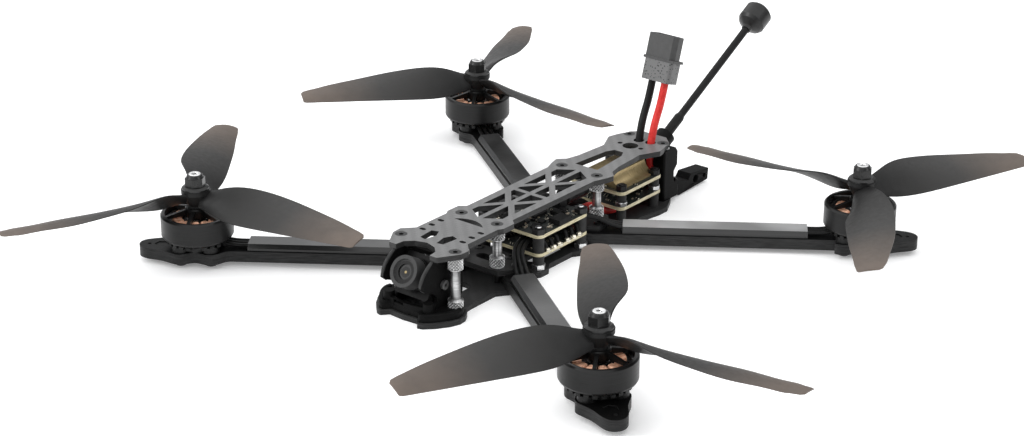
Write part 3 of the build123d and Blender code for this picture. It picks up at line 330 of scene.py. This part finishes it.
def board_face(name):
    """Dark solder mask with fine tracks on the faces, tan laminate at the cut edges."""
    paint = Paint(name, rough=0.4)
    tracks = paint.cells(420, feature="DISTANCE_TO_EDGE")
    copper = paint.span(tracks, 0.03, 0.07)
    mask = paint.mix(copper, (0.03, 0.034, 0.03), (0.010, 0.013, 0.012))
    layers = paint.noise(1.0, 2.0, paint.stretched((300, 300, 3000)))
    core = paint.mix(paint.span(layers, 0.3, 0.7), (0.42, 0.36, 0.21), (0.78, 0.72, 0.50))
    nz = paint.math("ABSOLUTE", paint.axes(paint.normal)[2])
    paint.colour(paint.mix(paint.span(nz, 0.4, 0.7), core, mask))
    paint.relief(copper, 0.03 * MM, 0.5)
    return paint.material


def sleeve_film():
    """Crinkled film sleeve, with painted shade down its sides and a painted reflection that makes it
    much paler on the right rear arm.
    """
    paint = Paint("wire_sleeve", rough=0.3, metallic=0.3, Coat_Weight=0.25, Coat_Roughness=0.2)
    share = paint.span(paint.noise(40, 1.0), 0.4, 0.6)
    x, y, _ = paint.axes(paint.place)
    right_half = paint.math("GREATER_THAN", x, 0.0)
    rear_half = paint.math("GREATER_THAN", y, 0.0)
    # Painted reflection: the sleeve on the right rear arm is painted much paler than the other three.
    painted_reflection_arm = paint.math("MULTIPLY", right_half, rear_half)
    plain = paint.mix(share, grey(0.03), grey(0.06))
    face = paint.mix(painted_reflection_arm, plain, paint.mix(share, grey(0.27), grey(0.42)))
    nz = paint.axes(paint.normal)[2]
    # Painted shade: faces turned away from straight up are painted near black down the sleeve sides.
    paint.colour(paint.mix(paint.span(nz, 0.75, 0.95), grey(0.015), face))
    paint.relief(paint.noise(240, 3.0), 0.2 * MM, 0.4)
    return paint.material


BELL_INSIDE_R = 14.9 * MM


def bell_finish():
    """Satin black anodised bell, turned outside and plain black inside, with painted shade making the
    inside darker.
    """
    paint = Paint("motor_bell", rough=0.34, metallic=0.1, Specular_IOR_Level=0.25)
    lines = paint.noise(1.0, 3.0, paint.stretched((90, 90, 5200)))
    skin = paint.mix(paint.span(lines, 0.3, 0.7), grey(0.008), grey(0.015))
    # Painted shade: the inside of each bell is painted darker than its skin.
    inside = None
    for centre in MOTORS.values():
        near = paint.math("LESS_THAN", paint.radius(centre), BELL_INSIDE_R)
        inside = near if inside is None else paint.math("MAXIMUM", inside, near)
    paint.colour(paint.mix(inside, skin, grey(0.006)))
    paint.rough(paint.span(lines, 0.3, 0.7, 0.3, 0.44))
    paint.relief(lines, 0.012 * MM, 0.5)
    return paint.material


def off_lens_axis(paint):
    """How far a point lies from the camera's lens axis."""
    centre = middle("camera_lens_glass")
    axis = (middle("camera_lens") - centre).normalized()
    moved = paint.node("ShaderNodeVectorMath", operation="SUBTRACT")
    paint.feed(moved.inputs[0], paint.place)
    paint.feed(moved.inputs[1], tuple(centre))
    across = paint.node("ShaderNodeVectorMath", operation="CROSS_PRODUCT")
    paint.feed(across.inputs[0], moved.outputs[0])
    paint.feed(across.inputs[1], tuple(axis))
    size = paint.node("ShaderNodeVectorMath", operation="LENGTH")
    paint.feed(size.inputs[0], across.outputs[0])
    return size.outputs["Value"]


BORE_SHADE_R = (4.6 * MM, 5.0 * MM)
GLASS_RIM_R = (2.2 * MM, 2.5 * MM)
PAINTED_GLINT_R = (0.5 * MM, 0.7 * MM)


def lens_finish():
    """Grey lens ring with painted shade down its bore."""
    paint = Paint("lens_barrel", rough=0.5, Specular_IOR_Level=0.2)
    # Painted shade: the bore inside the ring is painted near black.
    ring = paint.span(off_lens_axis(paint), *BORE_SHADE_R)
    cloud = paint.noise(900, 3.0)
    face = paint.mix(cloud, grey(0.030), grey(0.046))
    bore = paint.mix(cloud, grey(0.004), grey(0.008))
    paint.colour(paint.mix(ring, bore, face))
    paint.relief(cloud, 0.02 * MM, 0.5)
    return paint.material


def lens_glass():
    """Coated front glass: a grey rim, black inside, with a small painted amber highlight in the middle.
    """
    paint = Paint("lens_glass", rough=0.25, Specular_IOR_Level=0.12)
    out = off_lens_axis(paint)
    cloud = paint.noise(700, 2.0)
    deep = paint.mix(cloud, grey(0.002), grey(0.006))
    rim = paint.mix(cloud, grey(0.022), grey(0.034))
    shade = paint.mix(paint.span(out, *GLASS_RIM_R), deep, rim)
    # Painted highlight: a small amber point on the lens axis.
    shade = paint.mix(paint.span(out, *PAINTED_GLINT_R), (0.34, 0.26, 0.12), shade)
    paint.colour(shade)
    paint.relief(cloud, 0.005 * MM, 0.3)
    return paint.material


def insulation(name, dark, light):
    """Silicone wire insulation: a soft sheen with dust and fine drag marks."""
    paint = Paint(name, rough=0.45, Specular_IOR_Level=0.2)
    paint.mottle(dark, light, 420)
    paint.relief(paint.noise(900, 3.0), 0.03 * MM, 0.5)
    return paint.material


def enamel_wire():
    """Enamelled copper whose colour wanders between a darker and a paler shade."""
    paint = Paint("copper", rough=0.35, metallic=0.35)
    paint.mottle((0.60, 0.27, 0.15), (0.98, 0.62, 0.44), 700)
    paint.relief(paint.noise(3000, 2.0), 0.01 * MM, 0.5)
    return paint.material


PLUG_FOOT = Vector((0.8, 95.4, 56.4)) * MM
PLUG_DIR = Vector((0, 0.307, 0.952))
PLUG_SEAM = (9.7 * MM, 9.9 * MM)


def plug_nylon():
    """Dark nylon housing on top, a paler dotted grip cap below."""
    paint = Paint("plug", rough=0.5)
    height = paint.along(PLUG_DIR, PLUG_FOOT)
    upper = paint.span(height, *PLUG_SEAM)
    dots = paint.span(paint.cells(800), 0.22, 0.34)
    cap = paint.mix(dots, grey(0.015), grey(0.13))
    case = paint.mix(paint.noise(500), grey(0.032), grey(0.056))
    paint.colour(paint.mix(upper, cap, case))
    pits = paint.math("MULTIPLY", dots, -0.5)
    paint.relief(paint.math("ADD", paint.noise(1500), pits), 0.06 * MM, 0.6)
    return paint.material


LOOKS = {
    "carbon_plate": carbon("carbon_plate", 0.150, 0.024),
    "carbon_arm": carbon("carbon_arm", 0.004, 0.022, math.radians(35), 0.12),
    "motor_bell": bell_finish(),
    "motor_base": brushed(
        "motor_base", grey(0.005), grey(0.014), 0.42, (300, 300, 900), 0.2, Specular_IOR_Level=0.3),
    "magnet": brushed("magnet", grey(0.38), grey(0.55), 0.3, (900, 900, 200)),
    "steel": brushed("steel", grey(0.62), grey(0.85), 0.3, (500, 500, 2600)),
    "nut": brushed("nut", grey(0.012), grey(0.03), 0.3, (700, 700, 1500), 0.5),
    "standoff": knurled_metal(),
    "black_screw": brushed("black_screw", grey(0.010), grey(0.022), 0.35, (1200, 1200, 400), 0.4),
    "spacer_rubber": moulded("spacer_rubber", 0.035, 0.6),
    "circuit_board": board_face("circuit_board"),
    "chip": moulded("chip", 0.012, 0.45, 0.01),
    "gold_sink": brushed(
        "gold_sink", (0.32, 0.235, 0.11), (0.58, 0.46, 0.25), 0.38, (300, 3200, 300), 0.8),
    "capacitor": moulded("capacitor", 0.02, 0.3),
    "stator": brushed("stator", grey(0.010), grey(0.025), 0.45, (200, 200, 5200), 0.5),
    "copper": enamel_wire(),
    "soft_guard": moulded("soft_guard", 0.004, 0.55, 0.05, gloss=0.08),
    "camera_case": moulded("camera_case", 0.005, 0.5, 0.03),
    "lens_barrel": lens_finish(),
    "lens_glass": lens_glass(),
    "antenna_sleeve": moulded("antenna_sleeve", 0.012, 0.42, 0.05),
    "antenna_cap": moulded("antenna_cap", 0.007, 0.36, 0.03, gloss=0.4),
    "wire_sleeve": sleeve_film(),
    "black_wire": insulation("black_wire", grey(0.003), grey(0.008)),
    "red_wire": insulation("red_wire", (0.50, 0.018, 0.015), (0.72, 0.05, 0.045)),
    "plug": plug_nylon(),
}
BLADES = {corner: blade_plastic(corner) for corner in CORNERS}
PIVOT_STEEL = brushed("pivot_steel", grey(0.05), grey(0.16), 0.4, (900, 900, 900), 0.6)
# Painted shade: a darker copy of the plate carbon for the plates that sit under the top plate.
SHADED_LOWER_PLATE = carbon("shaded_lower_plate", 0.030, 0.020, gloss=0.15)
SLOT_OF = {part["node"]: part["material_slot"] for part in frame["record"]["subparts"]}

for name, node in NODES.items():
    slot = SLOT_OF[name]
    material = BLADES[name.removeprefix("propeller_")] if slot == "propeller" else LOOKS[slot]
    # The bottom and middle plates take the darker carbon copy, as painted shade.
    if name in ("bottom_plate", "middle_plates"):
        material = SHADED_LOWER_PLATE
    if name == "camera_screws":
        material = PIVOT_STEEL
    for holder in node.material_slots:
        holder.material = material
for colour, lead in leads.items():
    lead.data.materials.append(LOOKS[f"{colour}_wire"])


# ---------------------------------------------------------------- softened CAD edges
BEVEL_ANGLE = math.radians(35)


def soften(node, width):
    """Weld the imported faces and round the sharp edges, so that they catch the light."""
    piece = NODES[node]
    weld = piece.modifiers.new("weld", "WELD")
    weld.merge_threshold = 0.002 * MM
    bevel = piece.modifiers.new("bevel", "BEVEL")
    bevel.width = width
    bevel.segments = 2
    bevel.limit_method = "ANGLE"
    bevel.angle_limit = BEVEL_ANGLE
    bevel.use_clamp_overlap = True
    bevel.harden_normals = False


SOFT_EDGES = {
    "bottom_plate": 0.15, "top_plate": 0.2, "middle_plates": 0.15, "camera_guard": 0.3,
    "rear_mount": 0.3, "antenna_bracket": 0.3, "battery_plug": 0.2, "camera_body": 0.15,
    **{f"arm_{corner}": 0.2 for corner in CORNERS},
}


# ---------------------------------------------------------------- mesh helpers
def piece_from(shape, name, material, body, smooth=True):
    """A new object from a bmesh, shown with its material and riding on a CAD body."""
    bmesh.ops.recalc_face_normals(shape, faces=shape.faces)
    mesh = bpy.data.meshes.new(name)
    shape.to_mesh(mesh)
    shape.free()
    piece = bpy.data.objects.new(name, mesh)
    bpy.context.collection.objects.link(piece)
    mesh.materials.append(material)
    for face in mesh.polygons:
        face.use_smooth = smooth
    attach(piece, body)
    return piece


def loft_rings(shape, rings, closed=False):
    """Skin through rings of points; closed joins the last ring to the first."""
    verts = [[shape.verts.new(point) for point in ring] for ring in rings]
    pairs = list(zip(verts, verts[1:])) + ([(verts[-1], verts[0])] if closed else [])
    for first, second in pairs:
        count = len(first)
        for i in range(count):
            j = (i + 1) % count
            shape.faces.new((first[i], first[j], second[j], second[i]))
    if not closed:
        shape.faces.new(verts[0])
        shape.faces.new(verts[-1])


def ring_at(place, height, steps, radius_at):
    """Points round the local Z axis, each at its own radius."""
    ring = []
    for i in range(steps):
        turn = 2 * math.pi * i / steps
        radius = radius_at(turn)
        ring.append(place @ Vector((radius * math.cos(turn), radius * math.sin(turn), height)))
    return ring


def hexagon(turn):
    """How much farther out a hexagon's side is than its nearest point."""
    return 1 / math.cos((turn % (math.pi / 3)) - math.pi / 6)


def lathe(shape, profile, place, steps, wave=None):
    """Rings of a turned solid; wave(turn, height) adds to the radius."""
    rings = [
        ring_at(place, height, steps, lambda turn: radius + (wave(turn, height) if wave else 0.0))
        for radius, height in profile
    ]
    loft_rings(shape, rings)


def chamfered_block(shape, place, size, chamfer):
    """A block with its top edges cut back, standing on the local plane z = 0."""
    half_x, half_y, height = size[0] / 2, size[1] / 2, size[2]
    rings = []
    for inset, z in ((0, 0), (0, height - chamfer), (chamfer, height)):
        rings.append([
            place @ Vector((sx * (half_x - inset), sy * (half_y - inset), z))
            for sx, sy in ((-1, -1), (1, -1), (1, 1), (-1, 1))
        ])
    loft_rings(shape, rings)


# ---------------------------------------------------------------- motor windings
TEETH = 12
COIL_IN = 6.9 * MM
COIL_OUT = 10.8 * MM
COIL_LOW = 12.1 * MM
COIL_HIGH = 21.3 * MM
COIL_HALF_IN = 1.45 * MM
COIL_HALF_OUT = 2.45 * MM
TURNS = 8
STRAND = 0.27 * MM


def rounded_loop(half_width, low, high, corner, per_corner=3):
    """Points of a rounded rectangle in the (side, height) plane."""
    points = []
    for sx, sz, start in ((1, 1, 0), (-1, 1, 90), (-1, -1, 180), (1, -1, 270)):
        cx = sx * (half_width - corner)
        cz = (high - corner) if sz > 0 else (low + corner)
        for k in range(per_corner + 1):
            turn = math.radians(start + 90 * k / per_corner)
            points.append((cx + corner * math.cos(turn), cz + corner * math.sin(turn)))
    return points


def coil_turn(shape, place, radius, half_width):
    """One loop of magnet wire round a stator tooth."""
    rings = []
    path = rounded_loop(half_width, COIL_LOW, COIL_HIGH, 0.9 * MM)
    centre = Vector((0, (COIL_LOW + COIL_HIGH) / 2))
    for side, height in path:
        outward = Vector((side, height)) - centre
        outward.normalize()
        ring = []
        for k in range(6):
            turn = 2 * math.pi * k / 6
            swell = STRAND * math.cos(turn)
            ring.append(place @ Vector((
                radius + STRAND * math.sin(turn), side + outward.x * swell, height + outward.y * swell,
            )))
        rings.append(ring)
    loft_rings(shape, rings, closed=True)


windings = bmesh.new()
for centre in MOTORS.values():
    out = math.atan2(centre.y, centre.x)
    for tooth in range(TEETH):
        place = Matrix.Translation((centre.x, centre.y, 0)) @ Matrix.Rotation(
            out + 2 * math.pi * tooth / TEETH, 4, "Z")
        for turn in range(TURNS):
            share = (turn + 0.5) / TURNS
            radius = COIL_IN + (COIL_OUT - COIL_IN) * share
            coil_turn(windings, place, radius, COIL_HALF_IN + (COIL_HALF_OUT - COIL_HALF_IN) * share)
coils = piece_from(windings, "coil_turns", LOOKS["copper"], "frame")
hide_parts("windings")


# ---------------------------------------------------------------- knurled posts
KNURL_R = 3.45 * MM
WAIST_R = 2.1 * MM
KNURL_CUT = 0.65 * MM
KNURL_RIDGES = 7
KNURL_PITCH = 3.0 * MM
KNURL_STEPS = 16
POST_CHAMFER = 0.3 * MM
POST_FOOT_CUT = 0.35 * MM
KNURL_START = 0.25 * MM
KNURL_MARGIN = 0.1 * MM
WAIST_TAPER = 0.8 * MM


def knurl(turn, height):
    """Depth of a diamond knurl, zero on the ridges."""
    slope = 2 * math.pi * height / KNURL_PITCH
    first = math.sin(KNURL_RIDGES * turn + slope)
    second = math.sin(KNURL_RIDGES * turn - slope)
    return -KNURL_CUT * (1 - min(abs(first), abs(second)))


def post(shape, x, y, low, high, collar):
    """A round post with a diamond-knurled collar at each end."""
    here = Matrix.Translation((x, y, low))
    length = high - low
    steps = round(collar / (KNURL_PITCH / KNURL_STEPS))
    profile = [(KNURL_R - POST_FOOT_CUT, 0.0)]
    profile += [(KNURL_R, collar * k / steps + POST_CHAMFER) for k in range(steps)]
    profile += [(KNURL_R - POST_CHAMFER, collar), (WAIST_R, collar + WAIST_TAPER), (WAIST_R, length / 2)]
    profile += [(radius, length - z) for radius, z in reversed(profile[:-1])]

    def wave(turn, height):
        end = min(height, length - height)
        return knurl(turn, end) if KNURL_START < end < collar - KNURL_MARGIN else 0.0

    lathe(shape, profile, here, KNURL_RIDGES * KNURL_STEPS, wave)


POST_TOP = top_of("front_standoffs")
LONG_COLLAR = 5.2 * MM
SHORT_COLLAR = 4.4 * MM
SHORT_POST_PITCH = 71.4 * MM
TAIL_POST_X = 9.7 * MM
posts = bmesh.new()
low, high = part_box("front_standoffs")
for side in (-1, 1):
    post(posts, side * (high[0] - KNURL_R), (low[1] + high[1]) / 2, low[2], POST_TOP, LONG_COLLAR)
clamp_top = top_of("middle_plates")
low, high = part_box("short_standoffs")
first_y = low[1] + KNURL_R
for side in (-1, 1):
    for y in (first_y, first_y + SHORT_POST_PITCH):
        post(posts, side * (high[0] - KNURL_R), y, clamp_top, POST_TOP, SHORT_COLLAR)
    post(posts, side * TAIL_POST_X, high[1] - KNURL_R, low[2], POST_TOP, LONG_COLLAR)
knurled = piece_from(posts, "knurled_posts", LOOKS["standoff"], "frame", smooth=False)
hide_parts("front_standoffs", "short_standoffs")


# ---------------------------------------------------------------- nut tops
DISC_R = 2.7 * MM
DISC_SINK = 0.3 * MM
DISC_FACE = 0.25 * MM
DISC_LIP = 0.35 * MM
DISC_TOP = 0.55 * MM
DISC_CHAMFER = 0.25 * MM
SOCKET_R = 1.35 * MM
SOCKET_SLOPE = 0.2 * MM
ROUND_STEPS = 36
DISC_PROFILE = [
    (SOCKET_R, 0.0), (DISC_R, 0.0), (DISC_R, DISC_LIP), (DISC_R - DISC_CHAMFER, DISC_TOP),
    (SOCKET_R + SOCKET_SLOPE, DISC_TOP), (SOCKET_R, DISC_FACE),
]

for corner, centre in MOTORS.items():
    disc = bmesh.new()
    here = Matrix.Translation((centre.x, centre.y, top_of(f"prop_nut_{corner}") - DISC_SINK))
    rings = []
    for radius, height in DISC_PROFILE:
        socket = radius < DISC_R - DISC_CHAMFER
        inside = radius * math.cos(math.pi / 6)
        rings.append(ring_at(
            here, height, ROUND_STEPS, lambda turn: inside * hexagon(turn) if socket else radius))
    loft_rings(disc, rings, closed=True)
    piece_from(disc, f"nut_disc_{corner}", LOOKS["steel"], f"rotor_{corner}", smooth=False)


# ---------------------------------------------------------------- solder and small parts
ESC_TOP = top_of("esc_board")
FLIGHT_TOP = top_of("flight_board")
BOARD_CENTRE = middle("esc_board")
BOARD_HALF = (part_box("esc_board")[1][0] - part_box("esc_board")[0][0]) / 2
PAD_STEP = 4.2 * MM
PAD_FIRST = 2.9 * MM
PAD_INSET = 0.9 * MM
SOLDER_OUT = 0.3 * MM
SOLDER_LIFT = 0.1 * MM
SOLDER_RADII = (1.5 * MM, 1.6 * MM, 1.25 * MM)

chance = random.Random(7)
solder = bmesh.new()
for side in (-1, 1):
    for row in (-1, 1):
        for k in range(3):
            x = side * (BOARD_HALF - PAD_INSET)
            y = BOARD_CENTRE.y + row * (PAD_FIRST + PAD_STEP * k)
            made = bmesh.ops.create_icosphere(solder, subdivisions=3, radius=1.0)
            lean = chance.uniform(-0.15, 0.15)
            for vert in made["verts"]:
                lump = 1 + 0.10 * math.sin(5 * vert.co.x + 7 * vert.co.y + 9 * k)
                vert.co = Vector((
                    x + side * SOLDER_OUT + vert.co.x * SOLDER_RADII[0] * lump,
                    y + (vert.co.y + lean * vert.co.z) * SOLDER_RADII[1] * lump,
                    ESC_TOP + SOLDER_LIFT + vert.co.z * SOLDER_RADII[2] * lump,
                ))
SOLDER = brushed("solder", (0.62, 0.57, 0.46), (0.92, 0.88, 0.74), 0.28, (700, 700, 700), 0.9)
piece_from(solder, "solder_blobs", SOLDER, "frame")


# Bright nuts over the plain CAD ones, under the main boards and on the lower video board, with the
# ends of the board screws standing out above the flight board
NUT_CHAMFER = 0.25 * MM


def hex_ring(shape, x, y, low, height, across, bore):
    """A hexagonal nut with chamfered corners."""
    here = Matrix.Translation((x, y, low))
    half = across / 2
    profile = [
        (bore, 0.0, False), (half, 0.0, False), (half, NUT_CHAMFER, True),
        (half, height - NUT_CHAMFER, True), (half, height, False), (bore, height, False),
    ]
    rings = [
        ring_at(here, z, ROUND_STEPS, lambda turn: radius * hexagon(turn) if flats else radius)
        for radius, z, flats in profile
    ]
    loft_rings(shape, rings, closed=True)


STACK_HALF = 15.25 * MM
VIDEO_HALF = 12.75 * MM
VIDEO_CENTRE = middle("video_board")
PLATE_TOP = top_of("bottom_plate")
SCREW_END = [(1.4 * MM, 0), (1.4 * MM, 0.7 * MM), (1.1 * MM, 1.0 * MM)]
SCREW_OUT = 2.3 * MM
SCREW_STEPS = 24
# Height, width across the flats and bore
FOOT_NUT = (2.45 * MM, 5.7 * MM, 1.4 * MM)
VIDEO_NUT = (1.9 * MM, 5.2 * MM, 2.2 * MM)
nuts = bmesh.new()
for sx in (-1, 1):
    for sy in (-1, 1):
        x, y = sx * STACK_HALF, BOARD_CENTRE.y + sy * STACK_HALF
        hex_ring(nuts, x, y, PLATE_TOP, *FOOT_NUT)
        lathe(nuts, SCREW_END, Matrix.Translation((x, y, FLIGHT_TOP + SCREW_OUT)), SCREW_STEPS)
        x, y = sx * VIDEO_HALF, VIDEO_CENTRE.y + sy * VIDEO_HALF
        hex_ring(nuts, x, y, top_of("video_board"), *VIDEO_NUT)
piece_from(nuts, "board_nuts", LOOKS["steel"], "frame", smooth=False)


PART_HEIGHT = 0.5 * MM
PART_END_HEIGHT = 0.54 * MM
PART_CHAMFER = 0.08 * MM


def scatter(shape_body, shape_ends, centre, half_x, half_y, height, count):
    """Small surface-mounted parts: a dark or tan body between two bright ends."""
    for _ in range(count):
        x = chance.uniform(-half_x, half_x)
        y = chance.uniform(-half_y, half_y)
        length = chance.choice((1.0, 1.6, 2.0)) * MM
        turned = chance.choice((0.0, math.pi / 2))
        here = Matrix.Translation((centre.x + x, centre.y + y, height)) @ Matrix.Rotation(turned, 4, "Z")
        width = length * 0.55
        chamfered_block(shape_body, here, (length * 0.7, width, PART_HEIGHT), PART_CHAMFER)
        for end in (-1, 1):
            tip = here @ Matrix.Translation((end * length * 0.42, 0, 0))
            chamfered_block(shape_ends, tip, (length * 0.2, width * 1.04, PART_END_HEIGHT), PART_CHAMFER)


DARK_COUNT = 60
TAN_COUNT = 45
CHIP_COUNT = 26
CHIP_HEIGHT = 1.0 * MM
VIDEO_AREA = (14.5 * MM, 15 * MM)
dark_parts, tan_parts, part_ends = bmesh.new(), bmesh.new(), bmesh.new()
for bodies, count in ((dark_parts, DARK_COUNT), (tan_parts, TAN_COUNT)):
    scatter(bodies, part_ends, BOARD_CENTRE, BOARD_HALF * 0.86, BOARD_HALF * 0.86, FLIGHT_TOP, count)
    scatter(bodies, part_ends, BOARD_CENTRE, BOARD_HALF * 0.7, BOARD_HALF * 0.9, ESC_TOP, count // 2)
    for node in ("video_board", "video_amp_board"):
        scatter(bodies, part_ends, VIDEO_CENTRE, *VIDEO_AREA, top_of(node), count // 2)
for _ in range(CHIP_COUNT):
    x, y = (chance.uniform(-0.85, 0.85) * BOARD_HALF for _ in range(2))
    side = chance.choice((1.8, 2.6, 3.4)) * MM
    here = Matrix.Translation((BOARD_CENTRE.x + x, BOARD_CENTRE.y + y, FLIGHT_TOP))
    chamfered_block(dark_parts, here, (side, side * 0.8, CHIP_HEIGHT), 0.12 * MM)
TAN = moulded("ceramic", 0.22, 0.4, 0.01, 0.25)
piece_from(dark_parts, "board_bodies_dark", LOOKS["chip"], "frame", smooth=False)
piece_from(tan_parts, "board_bodies_tan", TAN, "frame", smooth=False)
piece_from(part_ends, "board_part_ends", SOLDER, "frame", smooth=False)


# ---------------------------------------------------------------- nose lips and bumper rim
def smooth_path(points, per_span=6):
    """Catmull-Rom points through a short list of corners."""
    ends = [points[0]] + points + [points[-1]]
    path = []
    for a, b, c, d in zip(ends, ends[1:], ends[2:], ends[3:]):
        for k in range(per_span):
            t = k / per_span
            path.append(0.5 * (
                2 * b + (c - a) * t + (2 * a - 5 * b + 4 * c - d) * t * t
                + (3 * b - a - 3 * c + d) * t ** 3))
    return path + [points[-1]]


def ribbon(shape, path, side, half_side, half_depth, steps=12):
    """A rounded band along a path; side is the direction across it."""
    rings = []
    for i, point in enumerate(path):
        ahead = (path[min(i + 1, len(path) - 1)] - path[max(i - 1, 0)]).normalized()
        across = (side - ahead * side.dot(ahead)).normalized()
        depth = ahead.cross(across)
        ring = []
        for k in range(steps):
            turn = 2 * math.pi * k / steps
            c, d = math.cos(turn), math.sin(turn)
            wide = math.copysign(abs(c) ** 0.6, c) * half_side
            deep = math.copysign(abs(d) ** 0.6, d) * half_depth
            ring.append(point + across * wide + depth * deep)
        rings.append(ring)
    loft_rings(shape, rings)


LIP_EDGE = [(-79.2, 26.9), (-81.9, 25.3), (-85.2, 22.2), (-86.6, 19.2), (-86.4, 17.2), (-84.6, 15.6)]
LIP_X = 10.6
LIP_HALF = 0.75 * MM
lips = bmesh.new()
for side in (-1, 1):
    edge = [Vector((side * LIP_X, y, z)) * MM for y, z in LIP_EDGE]
    ribbon(lips, smooth_path(edge), Vector((1, 0, 0)), LIP_HALF, LIP_HALF)
# The lip is a raised edge; its grey, paler than the guard, is a painted highlight along the front edges.
LIP_HIGHLIGHT = moulded("guard_lip", 0.035, 0.42, 0.03)
piece_from(lips, "guard_lips", LIP_HIGHLIGHT, "frame")

RIM = [
    (-19.4, -72.0), (-19.7, -74.8), (-18.2, -78.6), (-14.9, -83.2), (-12.1, -86.2), (-10.5, -86.8),
    (-8.0, -83.8), (-4.0, -84.0), (0.0, -84.4), (4.0, -84.0), (8.0, -83.8), (10.5, -86.8),
    (12.1, -86.2), (14.9, -83.2), (18.2, -78.6), (19.7, -74.8), (19.4, -72.0),
]
RIM_Z = 4.7
RIM_HALF_TALL = 1.3 * MM
RIM_HALF_WIDE = 1.15 * MM
rim = bmesh.new()
rim_path = smooth_path([Vector((x, y, RIM_Z)) * MM for x, y in RIM], 5)
ribbon(rim, rim_path, Vector((0, 0, 1)), RIM_HALF_TALL, RIM_HALF_WIDE)
piece_from(rim, "bumper_rim", LOOKS["soft_guard"], "frame")


# ---------------------------------------------------------------- floor, light, world
FLOOR_HALF = 4.0
floor_shape = bmesh.new()
floor_z = CAD_BOX[0][2]
floor_shape.faces.new([
    floor_shape.verts.new((sx * FLOOR_HALF, sy * FLOOR_HALF, floor_z))
    for sx, sy in ((-1, -1), (1, -1), (1, 1), (-1, 1))
])
floor_mesh = bpy.data.meshes.new("floor")
floor_shape.to_mesh(floor_mesh)
floor_shape.free()
floor = bpy.data.objects.new("floor", floor_mesh)
bpy.context.collection.objects.link(floor)
floor_paint = Paint("floor", rough=0.9, Emission_Color=(1, 1, 1, 1), Emission_Strength=0.22)
floor_paint.mottle(grey(0.90), grey(0.93), 3.0)
floor_mesh.materials.append(floor_paint.material)


def softbox(name, at, size, power, target=(0, 0, 0.01)):
    light = bpy.data.lights.new(name, "AREA")
    light.shape = "RECTANGLE"
    light.size, light.size_y = size
    light.energy = power
    lamp = bpy.data.objects.new(name, light)
    bpy.context.collection.objects.link(lamp)
    lamp.location = at
    lamp.rotation_euler = (Vector(target) - Vector(at)).to_track_quat("-Z", "Y").to_euler()


def soft_sun(name, direction, strength, spread):
    """Even light over the whole floor, from a broad disc of sky."""
    light = bpy.data.lights.new(name, "SUN")
    light.energy = strength
    light.angle = math.radians(spread)
    lamp = bpy.data.objects.new(name, light)
    bpy.context.collection.objects.link(lamp)
    lamp.rotation_euler = (-Vector(direction)).to_track_quat("-Z", "Y").to_euler()


soft_sun("sky_light", (-0.2, -0.1, 1.0), 3.0, 130)
softbox("left_softbox", (-0.9, -1.2, 0.9), (0.6, 1.0), 9)
softbox("right_softbox", (1.4, 0.3, 0.7), (0.5, 1.0), 4)

world = bpy.data.worlds.new("studio")
bpy.context.scene.world = world
world.use_nodes = True
background = world.node_tree.nodes["Background"]
background.inputs["Color"].default_value = (0.95, 0.97, 1.0, 1)
background.inputs["Strength"].default_value = 0.35
bpy.context.scene.view_settings.view_transform = "Standard"


# ---------------------------------------------------------------- rounded CAD edges
for node, width in SOFT_EDGES.items():
    soften(node, width * MM)
